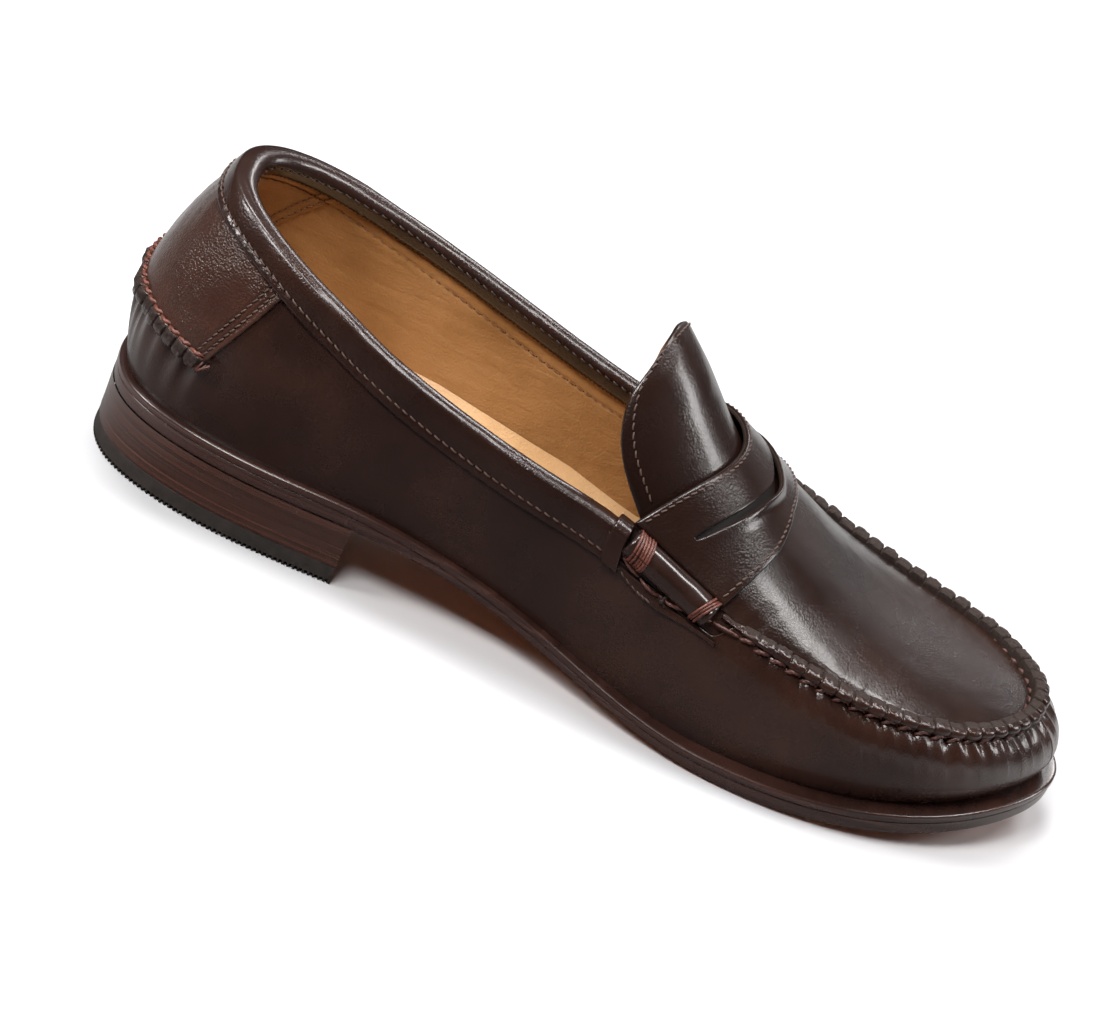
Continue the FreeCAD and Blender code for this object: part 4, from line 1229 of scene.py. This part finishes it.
def build_patch():
    shares, rises = clustered(-1, 1, 260, 0.35), np.linspace(0.0, 1.0, 110)
    u, v = np.meshgrid(shares, rises, indexing="ij")
    base = patch_layer(u, v)
    edge = edge_sink(base, 0.6, ("u0", "u1"))
    relief = 0.25 * noise2(u * 4, v * 3, 141) + 0.08 * noise2(u * 14, v * 9, 143)
    # Two stitch rows draw the leather down beside each front edge.
    distance = (1 - np.abs(u)) * PATCH_HALF
    rows = -0.25 * np.exp(-((distance - 1.8) / 0.6) ** 2) - 0.22 * np.exp(-((distance - 3.6) / 0.6) ** 2)
    gather = 0.25 * noise1((u + 1) * HEEL_COUNT / 2, 145) * np.exp(-v / 0.10)
    lifted = 0.30 * np.exp(-(distance / 1.2) ** 2)
    outer = patch_layer(u, v, 1.15 + relief + rows + gather + lifted - edge)
    inner = patch_layer(u, v, 0.15)
    mesh = Mesh()
    mesh.shell(outer, inner)
    mesh.build("heel_patch_leather", [PATCH_CALF, DARK_RAW], nodes=["heel_patch"], slot="patch_leather")
    seam = Seam()
    for side in (-1, 1):
        for inset in (1.8, 3.6):
            def face(t, share=side * (1 - inset / PATCH_HALF)):
                full = np.full_like(t, share)
                step = 0.01
                along = patch_layer(full, t + step) - patch_layer(full, t - step)
                across = patch_layer(full + step, t) - patch_layer(full - step, t)
                return patch_layer(full, t, 1.02), unit(np.cross(across, along))
            seam.row(face, 0.04, 0.97, 2.2, radius=0.26)
    seam.build("patch_stitches", "patch_needle_holes")


def heel_frames(shares):
    """Origin, outward and upward directions of the heel ridge's sections."""
    origin = patch_layer(shares, np.full_like(shares, -0.035), 0.0)
    along = unit(np.gradient(origin, axis=0))
    normal = wall_normal(shares * PATCH_REACH, patch_foot(np.clip(shares, -1, 1)))
    out = unit(np.cross(along, normal))
    up = unit(np.cross(out, along))
    return origin, out, up


def build_heel_ridge():
    shares = np.linspace(-1.03, 1.03, 900)
    k = np.clip((shares + HEEL_SPAN) / (2 * HEEL_SPAN), 0, 0.9999) * HEEL_COUNT
    phase, number = k - np.floor(k), np.floor(k) + 200
    frames = heel_frames(shares)
    end = smoothstep(0, 0.05, 1.03 - np.abs(shares))
    tall = (3.2 + 1.0 * noise1(shares * 9, 149)) * end
    net = ridge_net(frames, phase, number, np.full_like(shares, 1.0), tall, 3.1, 0.0)
    add_ridge("heel_ridge", net, frames[2], shares * 60, 151, 0.22, [ROLL_CALF, DARK_RAW, PATCH_CALF])


def build_heel_stitches():
    """Hand stitches above and below the heel ridge."""
    upper, lower = Mesh(), Mesh()
    edges = np.linspace(-HEEL_SPAN, HEEL_SPAN, HEEL_COUNT + 1)
    t = np.linspace(0, 1, 18)
    arc = np.sin(math.pi * t) ** 0.7
    for a, b in zip(edges, edges[1:]):
        s = a + (b - a) * (0.02 + 0.96 * t)
        origin, out, up = heel_frames(s)
        path = origin - out * (2.2 + 0.7 * t)[:, None] + up * (0.75 + 1.15 * arc)[:, None]
        upper.tube(path, 0.72 * (0.75 + 0.25 * arc), 9, **LAID)
        path = origin + out * (2.9 - 0.6 * t)[:, None] + up * (-0.5 + 1.5 * arc)[:, None]
        lower.tube(path, 0.60 * (0.75 + 0.25 * arc), 9, **LAID)
    upper.build("heel_stitches_upper", HEEL_THREAD, nodes=["heel_seam_thread"], slot="hand_thread")
    lower.build("heel_stitches_lower", HAND_THREAD, slot="hand_thread")


def build_heel_knots():
    """A bundle of short loops at each end of the heel ridge."""
    knots = Mesh()
    for side in (-1, 1):
        near = side * 1.0
        base = patch_layer(np.array([near]), np.array([-0.05]), np.array([1.4]))[0]
        out, up = (x[2] for x in heel_frames(np.linspace(near - 0.02, near + 0.02, 5))[1:])
        along = np.cross(up, out) * side * -1
        for j in range(6):
            swing = 0.5 + 1.9 * hashed(j, 157)
            reach = 1.7 + 1.1 * hashed(j, 159)
            middle = base + along * (1.8 * (hashed(j, 161) - 0.5)) + out * (1.6 * (hashed(j, 163) - 0.5))
            way = along * math.cos(swing) + out * math.sin(swing)
            t = np.linspace(-1, 1, 14)[:, None]
            path = middle + way * (t * reach) + up * (0.9 * (1 - t ** 2) + 0.2 * j - 0.6)
            knots.tube(path, 0.46, 8, depth=0.3, twist=0.3)
    knots.build("heel_knots", HAND_THREAD, slot="hand_thread")


# ---------------------------------------------------------------- strap seams, tabs and rolls
def build_strap_seams():
    seam = Seam()

    for share in (0.945, 0.055):
        def face(side, share=share):
            back = strap_point(share, side)
            return apron_layer(back, side, strap_lift(share, side) - 0.06), apron_normal(back, side)
        seam.row(face, -0.95, 0.95, 2.6)
    seam.build("strap_stitches", "strap_needle_holes")


def tab_bounds(station):
    """Heights of a tab's lower and upper edge on the wall."""
    distance = from_heel(station)
    low = 0.77 - 0.07 * smoothstep(4.9, 5.3, distance) + 0.05 * smoothstep(5.4, 5.9, distance)
    high = TOPLINE_END - 0.02 + (ROLL_SHELF - TOPLINE_END) * smoothstep(GAP_OPENS, GAP_OPEN, distance)
    return low, high


def tab_step(station):
    """How far a tab rises where it lies on the collar's end."""
    return 1.4 * (1 - smoothstep(4.92, 5.06, from_heel(station)))


def build_tabs():
    for name, begin, finish in (("lateral", 4.85, 6.02), ("medial", 13.98, 15.15)):
        stations, shares = clustered(begin, finish, 90, 0.6), clustered(0, 1, 30, 0.6)
        u, v = np.meshgrid(stations, shares, indexing="ij")
        low, high = tab_bounds(u)
        h = low + (high - low) * v
        base = wall_layer(u, h)
        sink = edge_sink(base, 0.6, ("u0", "u1", "v0"))
        lift = 1.25 + tab_step(u) + 0.15 * noise2(u * 4, v * 2, 161)
        mesh = Mesh()
        mesh.shell(wall_layer(u, h, lift - sink), wall_layer(u, h, lift - 1.2))
        mesh.build("strap_tab_leather_" + name, [UPPER, DARK_RAW], nodes=["strap_tab_" + name],
                   slot="upper_leather")
        seam = Seam()

        def row(t):
            h = tab_bounds(t)[0] + 0.022
            return wall_layer(t, h, 1.2 + tab_step(t)), wall_normal(t, h)

        first, bar, last = (4.94, 5.27, 5.42) if name == "lateral" else (14.58, 14.73, 15.06)
        seam.row(row, first, last, 2.4, radius=0.24)
        # A short bar of close, thicker stitches ends the row.
        low, high = (bar, last) if name == "lateral" else (first, bar)
        seam.row(row, low, high, 1.5, radius=0.34, share=0.8)
        seam.build("tab_stitches_" + name, "tab_needle_holes_" + name)


def roll_axis(first, last):
    """Start and direction of a roll's axis, between two stations of the rail."""
    start, end = top_rail(first), top_rail(last)
    along = unit(end - start)
    centre = (start + end) * 0.5 - np.array([0, 0, 2.2]) + outward((first + last) / 2) * 1.5
    return centre - along * ROLL_LENGTH / 2, along


def lace_height(distance):
    """How high the long stitches lie on the wall along the foot of a roll."""
    return np.interp(distance, [5.05, 5.15, 5.30, 5.44, 5.60, 5.77, 5.98, 6.16],
                     [0.86, 0.83, 0.805, 0.795, 0.81, 0.842, 0.905, 0.93])


def build_strap_ends():
    """Each end of the strap laps round the collar's end, down to the collar's stitch row."""
    for name, first, last in (("lateral", 4.87, 5.05), ("medial", -5.05, -4.87)):
        stations, across = clustered(first, last, 26, 0.6), clustered(0.0, 0.86, 60, 0.4)
        u, v = np.meshgrid(stations, across, indexing="ij")
        points, normals = collar_face(u.ravel(), v.ravel())
        points, normals = points.reshape(*u.shape, 3), normals.reshape(*u.shape, 3)
        sink = edge_sink(points, 0.6, ("u0", "u1", "v0", "v1"))
        mesh = Mesh()
        mesh.shell(points + normals * (1.45 - sink)[..., None], points + normals * 0.15)
        mesh.build("strap_end_leather_" + name, [UPPER, RAW], slot="upper_leather")


def build_gussets():
    """The strap's folded side closes the gap between the apron's edge and the cut-down wall, under a roll."""
    for name, first, last in (("lateral", 4.9, 6.4), ("medial", 13.6, 15.1)):
        stations, shares = np.linspace(first, last, 60)[:, None], np.linspace(0, 1, 16)[None]
        head = top_rail(stations) - outward(stations) * 2.2 + np.array([0, 0, 0.4])
        foot = wall_layer(stations, 0.76, -0.9)
        t = shares[..., None]
        mesh = Mesh()
        net = head * (1 - t) + foot * t + outward(stations) * (1.2 * np.sin(math.pi * shares))[..., None]
        mesh.grid(net, flip=True)
        mesh.build("strap_gusset_leather_" + name, UPPER, slot="upper_leather")


ROLL_RADIUS, ROLL_LENGTH = 4.35, 31.0


def roll_pinch(share):
    """How far the wraps squeeze a roll in, by the share of its length."""
    return 0.42 * np.exp(-((share - 0.115) / 0.055) ** 2) + 0.50 * np.exp(-((share - 0.93) / 0.035) ** 2)


def build_roll(side, first, last):
    base, along = roll_axis(first, last)
    up = unit(UP - along * (UP @ along))
    out = np.cross(along, up) if side == "lateral" else np.cross(up, along)
    build_roll_leather(side, base, along, out, up)
    build_roll_wraps(side, base, along, out, up)
    build_roll_foot(side)


def build_roll_leather(side, base, along, out, up):
    t = np.concatenate([np.linspace(0, 0.04, 10), np.linspace(0.045, 0.955, 150), np.linspace(0.96, 1.0, 10)])
    angle = np.linspace(0, 2 * math.pi, 72, endpoint=False)
    end = 0.7 * (np.clip(1 - t / 0.03, 0, 1) ** 2 + np.clip(1 - (1 - t) / 0.03, 0, 1) ** 2)
    radius = ROLL_RADIUS - roll_pinch(t) - end + 0.10 * np.sin(math.pi * t)
    wave = 0.06 * noise2(t[:, None] * 7, np.cos(angle)[None] * 1.5 + 3, 171)
    r = radius[:, None] + wave - 0.28 * np.exp(-((angle[None] - 4.3) / 0.07) ** 2)
    ring = out[None] * np.cos(angle)[:, None] + up[None] * np.sin(angle)[:, None]
    net = (base + along * (t * ROLL_LENGTH)[:, None])[:, None] + ring[None] * r[..., None]
    mesh = Mesh()
    flip = side != "lateral"
    mesh.grid(net, wrap_v=True, flip=flip)
    # Rolled leather seen on each end: a shallow spiral.
    for k, at in ((0, 0.0), (-1, 1.0)):
        rho = np.linspace(1, 0.02, 26)
        turns = rho[:, None] * 3.2 + angle[None] / (2 * math.pi)
        groove = -0.35 * np.abs(np.mod(turns, 1) - 0.5) ** 3 * 8 - 0.5 * (1 - rho[:, None])
        depth = (groove * (1 if at else -1)) * (rho[:, None] < 0.97)
        centre = base + along * (at * ROLL_LENGTH)
        cap = centre + ring[None] * (radius[k] * rho)[:, None, None] + along * depth[..., None]
        mesh.grid(cap, wrap_v=True, flip=(at == 0.0) != flip, slot=1)
    mesh.build("beef_roll_leather_" + side, [ROLL_CALF, DARK_RAW], slot="upper_leather",
               nodes=["beef_roll_" + side, "roll_filler_" + side])


def build_roll_wraps(side, base, along, out, up):
    """Thread bound round both ends of a roll: six turns behind and three in front."""
    wraps = Mesh()
    theta = np.linspace(0, 2 * math.pi, 61)
    strands = [(0.050, 0.52), (0.082, 0.56), (0.114, 0.58), (0.146, 0.55), (0.178, 0.58), (0.205, 0.42),
               (0.895, 0.5), (0.925, 0.55), (0.955, 0.5)]
    for j, (at, thick) in enumerate(strands):
        tilt = 1.5 * (0.8 + 0.4 * hashed(j, 173)) * (1 if at < 0.5 else -1)
        r = ROLL_RADIUS - roll_pinch(at) + thick * 0.65
        ring = out[None] * np.cos(theta)[:, None] + up[None] * np.sin(theta)[:, None]
        push = at * ROLL_LENGTH + tilt * np.cos(theta + 0.5)
        path = base + along * push[:, None] + ring * r
        wraps.tube(path, thick, 9, depth=0.32, twist=0.34)
    wraps.build("wrap_strands_" + side, WRAP_THREAD, nodes=["roll_wrap_thread_" + side], slot="hand_thread")


def build_roll_foot(side):
    """Long stitches along the foot of a roll, with a knot between them."""
    foot = Mesh()
    spans = [(5.06, 5.26), (5.28, 5.48), (5.50, 5.70), (5.74, 5.94), (5.97, 6.18)]
    for a, b in spans:
        if side == "medial":
            a, b = STATIONS - b, STATIONS - a
        s = np.linspace(a, b, 18)
        arc = np.sin(math.pi * np.linspace(0, 1, 18))
        h = lace_height(from_heel(s))
        path = wall_layer(s, h, 0.9 + 1.25 * arc ** 0.7)
        foot.tube(path, 0.62 * (0.75 + 0.25 * arc), 9, **LAID)
    foot.build("roll_foot_stitches_" + side, HAND_THREAD)
    knot = Mesh()
    at = 5.52 if side == "lateral" else STATIONS - 5.52
    centre = wall_layer(np.array([at]), np.array([0.80]), np.array([1.8]))[0]
    q = np.linspace(0, 2 * math.pi, 40)
    trefoil = vec(np.sin(q) + 1.1 * np.sin(2 * q), np.cos(q) - 1.1 * np.cos(2 * q), -np.sin(3 * q))
    knot.tube(centre + trefoil * 0.55, 0.42, 8)
    tail_way = unit(np.array([0.5, -0.3 if side == "lateral" else 0.3, -0.6]))
    knot.tube(centre + np.outer(np.linspace(0.3, 2.2, 6), tail_way), 0.36, 7)
    knot.build("roll_knot_" + side, DARK_THREAD)


# ---------------------------------------------------------------- inside of the shoe
LINING_DEPTH = -3.75
LINING_SEAM, SEAM_SLANT = 1.85, 1.1
LINING_THREAD = plain("lining_thread", (0.22, 0.105, 0.05), 0.6, 3000, 0.3, 0.3, 0.3)
# Dark tan: painted shade inside the lining's needle holes.
LINING_HOLE = plain("lining_hole", (0.06, 0.026, 0.012), 0.9, 1500, 0.0, 0.1, 0.1)


def build_linings():
    pieces = [
        ("vamp_lining", 4.9, 15.1, 0.97, 300),
        ("quarter_lining_lateral", 0.9, 5.02, 0.93, 240),
        ("quarter_lining_medial", 14.98, 19.1, 0.93, 240),
        ("heel_lining", -LINING_SEAM, LINING_SEAM, 0.93, 260),
    ]
    for name, first, last, high, count in pieces:
        stations, shares = np.linspace(first, last, count), np.linspace(0, 1, 130)
        u, share = np.meshgrid(stations, shares, indexing="ij")
        distance = from_heel(u)
        v = share * (high - (high - 0.77) * roll_gap(u))
        if name == "heel_lining":
            u = u + SEAM_SLANT * (v - 0.9) * smoothstep(0.5, LINING_SEAM, np.abs(u)) * np.sign(u)
        way = rail_mm(u) + np.where(u < 0, -RAIL_WAY[-1], 0)
        relief = 0.30 * noise2(way / 30, v * 3, 181) + 0.10 * noise2(way / 9, v * 9, 183)
        # Fine creases run along the shoe where the lining was pulled over the last.
        crease = np.maximum(0, noise2(way / 11 + v * 3, v * 26 + 0.5 * noise1(way / 8, 185), 187) - 0.25)
        relief = relief - 0.30 * crease * smoothstep(0.2, 0.5, v)
        # The lining rolls inwards at its foot, the collar's stitch row draws it in, and it slips in
        # between the wall and the collar's hem at its top.
        mouth = distance < 4.95
        relief = relief - 0.35 * np.exp(-((v - collar_start(u) * mouth) / 0.012) ** 2)
        foot = 1.6 * np.exp(-(v / 0.06) ** 2)
        hem = hem_height(u)
        tuck = 1.5 * smoothstep(hem - 0.02, hem + 0.015, v) * mouth
        lift = LINING_DEPTH - foot - relief + tuck
        if name == "heel_lining":
            lift = lift - 0.55
        mesh = Mesh()
        net = wall_layer(u, v, lift)
        if name == "heel_lining":
            mesh.shell(net, wall_layer(u, v, lift + 0.75), flip=True)
        else:
            mesh.grid(net, flip=True)
        mesh.build(name + "_leather", [LINING, RAW_TAN], nodes=[name], slot="lining_leather")


def build_lining_seams():
    """The collar's stitch row shows on the lining, and two rows hold the overlapping heel lining."""
    seam = Seam()

    def inside(height_of, lift):
        def face(t):
            h = height_of(t)
            return wall_layer(t, h, lift + 0.30), -wall_normal(t, h)
        return face

    end = LINING_SEAM + 0.03
    for first, last, lift in ((-ROW_END, -end, LINING_DEPTH), (-end + 0.1, end - 0.1, LINING_DEPTH - 0.55),
                              (end, ROW_END, LINING_DEPTH)):
        seam.row(inside(collar_start, lift), first, last, 2.9, radius=0.22, hole=0.30)
    for side in (-1, 1):
        for inset in (0.05, 0.15):
            def slanted(t, side=side, inset=inset):
                station = side * (LINING_SEAM - inset + SEAM_SLANT * (t - 0.9))
                return wall_layer(station, t, LINING_DEPTH - 0.62), -wall_normal(station, t)
            seam.row(slanted, 0.40, 0.87, 2.3, radius=0.2, hole=0.28)
    seam.build("lining_stitches", "lining_needle_holes", LINING_THREAD, LINING_HOLE)


def build_apron_lining():
    """The lining under the apron, seen far inside."""
    u, v = np.meshgrid(np.linspace(0.03, 1.0, 90), np.linspace(-0.95, 0.95, 90), indexing="ij")
    mesh = Mesh()
    mesh.grid(apron_layer(u, v, -2.8 + 0.2 * noise2(u * 6, v * 4, 191)))
    mesh.build("apron_lining_leather", LINING, nodes=["apron_lining"], slot="lining_leather")


def spine(x, first):
    """The sole's middle line, nearest to x: it starts at first."""
    x = np.clip(x, first, 262)
    return x, np.interp(x, [first, 80, 125, 175, 235, 262], [0, -4, -4, 1, 4, 6])


def build_sock():
    stations = np.linspace(0, STATIONS, 600, endpoint=False)
    edge = sole_rail(stations)
    inset = ledge(edge[:, 0]) + 2.6
    edge = edge - outward(stations) * inset[:, None]
    spine_x, spine_y = spine(edge[:, 0], 18)
    share = np.concatenate([np.linspace(0.0, 0.85, 40, endpoint=False), np.linspace(0.85, 1.0, 16)])
    x = spine_x[:, None] + (edge[:, 0] - spine_x)[:, None] * share
    y = spine_y[:, None] + (edge[:, 1] - spine_y)[:, None] * share
    # The sock is moulded up against the linings: high round the heel and waist, low in the forefoot.
    climb = (np.clip((share - 0.60) / 0.40, 0, 1) ** 2)[None]
    cup = 1.5 + 6.8 * (1 - smoothstep(125, 190, x))
    x = x + outward(stations)[:, :1] * 1.5 * climb
    y = y + outward(stations)[:, 1:2] * 1.5 * climb
    dish = 0.5 + cup * climb
    relief = 0.22 * noise2(x / 26, y / 20, 201) + 0.06 * noise2(x / 7, y / 7, 203)
    # The heel pad's outline shows faintly through the sock.
    pad = 0.35 * (1 - smoothstep(0.66, 0.76, share))[None]
    pad = pad * (1 - smoothstep(78, 92, x))
    z = ground_height(x) + SOCK_TOP + dish + relief + pad
    mesh = Mesh()
    mesh.grid(np.stack([x, y, z], -1), wrap_u=True)
    mesh.build("sock_leather", SOCK, nodes=["sock_liner"], slot="sock_leather")


# ---------------------------------------------------------------- sole and heel
def build_sole():
    stations = np.linspace(0, STATIONS, 1400, endpoint=False)
    edge, out = sole_rail(stations), outward(stations)
    # (out, height, share of the waist's bevel): the welt's bead, the groove under it and the outsole's edge.
    bead = [
        (-8.0, 7.15, 0), (-2.6, 7.05, 0), (-1.2, 7.02, 0), (-0.55, 6.95, 0), (-0.12, 6.72, 0),
        (0.08, 6.35, 0), (0.14, 5.7, 0), (0.12, 5.0, 0), (0.02, 4.66, 0), (-0.26, 4.48, 0),
        (-0.32, 4.36, 0), (-0.16, 4.24, 0), (-0.06, 4.05, 0), (-0.06, 3.2, 0), (-0.06, 2.2, 0.5),
        (-0.10, 1.2, 0.8), (-0.20, 0.6, 1), (-0.45, 0.25, 1)]
    profile = []
    way = travelled(edge)
    for across, height, bevelled in bead:
        base = edge + out * (across + 0.03 * noise1(way / 30, 211))[:, None]
        z = ground_height(base[:, 0]) + waist_bevel(base[:, 0]) * bevelled + height
        z = z + 0.02 * noise1(way / 25 + height, 213)
        profile.append(np.stack([base[:, 0], base[:, 1], z], -1))
    net = np.stack(profile, axis=1)
    mesh = Mesh()
    mesh.grid(net, flip=True, wrap_u=True)
    mesh.build("sole_edge_leather", EDGE, nodes=["welt_rand"], slot="sole_leather")
    build_underside(net[:, -1])


def build_underside(rim):
    """The outsole's lower face, from its edge to the middle line."""
    spine_x, spine_y = spine(rim[:, 0], 30)
    share = np.linspace(0, 1, 70)
    x = rim[:, :1] * (1 - share) + spine_x[:, None] * share
    y = rim[:, 1:2] * (1 - share) + spine_y[:, None] * share
    settled = smoothstep(0, 0.05, share)
    z = (ground_height(x) + waist_bevel(x)) * settled + rim[:, 2:] * (1 - settled)
    z = z + 0.04 * noise2(x / 5, y / 5, 215) * smoothstep(0, 0.1, share)
    z = np.maximum(z, 0.0)
    mesh = Mesh()
    mesh.grid(np.stack([x, y, z], -1), wrap_u=True)
    mesh.build("sole_underside_leather", UNDERSIDE, nodes=["outsole"], slot="sole_leather")


def heel_loop(inset):
    """The heel's outline as points: round the back from the outer to the inner breast corner, then along the
    hollow breast."""
    stations = np.linspace(-3, 3, 500)
    back = sole_rail(stations) - outward(stations) * inset
    start, end = back[0], back[-1]
    middle = (start + end) / 2 - np.array([4.0, 0, 0])
    t = np.linspace(0, 1, 130)[1:-1, None]
    breast = (1 - t) ** 2 * end + 2 * t * (1 - t) * (2 * middle - (start + end) / 2) + t ** 2 * start
    return np.concatenate([back, breast])


def loop_normals(loop):
    """Level normals of a closed line."""
    along = np.roll(loop, -1, axis=0) - np.roll(loop, 1, axis=0)
    return unit(np.stack([along[:, 1], -along[:, 0], np.zeros(len(loop))], -1))


def build_heel():
    loop = heel_loop(0.35)
    normals = loop_normals(loop)
    for _ in range(6):
        normals = unit(normals + np.roll(normals, 1, axis=0) + np.roll(normals, -1, axis=0))
    way = travelled(loop)
    rows, joints = [], [TOP_PIECE + LIFT * k for k in range(5)]
    heights = [TOP_PIECE]
    for low, high in zip(joints, joints[1:]):
        heights += [low + near for near in (0.07, 0.16, 0.45)]
        heights += [(low + high) / 2, high - 0.45, high - 0.16, high - 0.07]
    heights.append(20.3)
    for z in heights:
        gap = min(abs(z - joint) for joint in joints)
        groove = 0.09 * math.exp(-(gap / 0.10) ** 2)
        lift = 0.25 * (z - TOP_PIECE) / 14
        wave = 0.07 * noise1(way / 12 + round(z / LIFT) * 7, 221)
        point = loop + normals * (lift - groove + wave)[:, None]
        point[:, 2] = z + 0.06 * noise1(way / 17 + z, 223)
        rows.append(point)
    mesh = Mesh()
    mesh.grid(np.stack(rows, axis=1), wrap_u=True)
    lifts = ["heel_lift_%d" % number for number in (1, 2, 3, 4)]
    mesh.build("heel_stack", LIFTS, nodes=lifts, slot="lift_leather", sharp=50)
    build_top_piece(loop, normals, way)


def build_top_piece(loop, normals, way):
    fine = np.linspace(0, way[-1] + np.linalg.norm(loop[0] - loop[-1]), 5200, endpoint=False)
    closed = np.concatenate([loop, loop[:1]])
    total = travelled(closed)
    line = np.stack([np.interp(fine, total, closed[:, k]) for k in range(3)], -1)
    wide = np.concatenate([normals, normals[:1]])
    n = unit(np.stack([np.interp(fine, total, wide[:, k]) for k in range(3)], -1))
    pitch = fine[-1] / round(fine[-1] / 1.6)
    saw = np.abs(np.mod(fine / pitch, 1) - 0.5) * 2
    tooth = smoothstep(0.25, 0.75, saw)
    # (out, height, share of the knurling's depth)
    profile = [
        (-3.0, 6.0, 0), (-0.35, 6.0, 0), (-0.12, 5.85, 0), (-0.05, 5.4, 0), (-0.05, 3.5, 0), (0.0, 2.0, 0),
        (0.05, 1.45, 0.0), (0.12, 1.1, 0.6), (0.14, 0.8, 1.0), (0.10, 0.35, 1.0), (-0.05, 0.06, 1.0),
        (-0.4, 0.0, 1.0), (-1.6, 0.0, 1.0), (-2.6, 0.0, 0.4), (-3.0, 0.0, 0)]
    rows = []
    for across, z, bite in profile:
        cut = bite * (1 - tooth)
        point = line + n * (across - 0.9 * cut * (z > 0.2))[:, None]
        point[:, 2] = z + cut * (1.5 if z < 0.7 else 0.6)
        rows.append(point)
    mesh = Mesh()
    mesh.grid(np.stack(rows, axis=1), flip=True, wrap_u=True)
    centre = line.mean(0)
    share = np.linspace(0, 1, 24)
    rim = centre + (line[::6] - centre) * 0.93
    net = rim[:, None] + (centre - rim)[:, None] * share[None, :, None]
    net[..., 2] = 0.01
    mesh.grid(net, flip=True, wrap_u=True)
    mesh.build("heel_top_piece_rubber", RUBBER, nodes=["heel_top_piece"], slot="rubber", sharp=40)


def build_pin_wells():
    """Small wells where pins hold the top piece."""
    pins = Mesh()
    for x, y in ((14, 0), (28, -20), (28, 18), (56, -24), (56, 19)):
        angle = np.linspace(0, 2 * math.pi, 20, endpoint=False)
        rings = [(1.7, 0.02), (1.4, 0.16), (0.0, 0.2)]
        net = np.stack([np.stack([x + r * np.cos(angle), y + r * np.sin(angle), np.full(20, z)], -1)
                        for r, z in rings], axis=0)
        pins.grid(net, wrap_v=True)
    # The wells take the near-black hole material: painted shade.
    pins.build("top_piece_pin_wells", HOLE)


# ---------------------------------------------------------------- all together
def cover_hidden_nodes():
    """Inner pieces that never show keep their CAD shape and get plain fitting materials."""
    inner = {
        "insole_board": plain("board", (0.30, 0.18, 0.09), 0.8),
        "heel_counter": plain("stiffener", (0.45, 0.36, 0.24), 0.8),
        "cork_filler": plain("cork", (0.30, 0.17, 0.08), 0.9, 600, 0.8),
        "shank": plain("steel", (0.45, 0.45, 0.46), 0.35, 400, 0.1),
        "sock_foam": plain("foam", (0.60, 0.55, 0.42), 0.95),
    }
    alike = {"toe_puff": "heel_counter", "back_stay": "heel_counter", "heel_nails": "shank"}
    for node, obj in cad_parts.items():
        material = inner.get(alike.get(node, node))
        if material is None:
            continue
        obj.data.materials.clear()
        obj.data.materials.append(material)


build_studio()
cover_hidden_nodes()
build_wall()
build_ridge()
build_seam_threads()
build_apron()
build_strap()
build_painted_slot_shade()
build_strap_seams()
build_collar()
build_patch()
build_heel_ridge()
build_heel_stitches()
build_heel_knots()
build_tabs()
build_strap_ends()
build_gussets()
build_roll("lateral", 5.05, 5.97)
build_roll("medial", 14.9, 14.0)
build_linings()
build_lining_seams()
build_apron_lining()
build_sock()
build_sole()
build_heel()
build_pin_wells()
# The tongue's pieces get their transforms baked into their meshes.
for piece in build_tongue():
    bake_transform(piece)
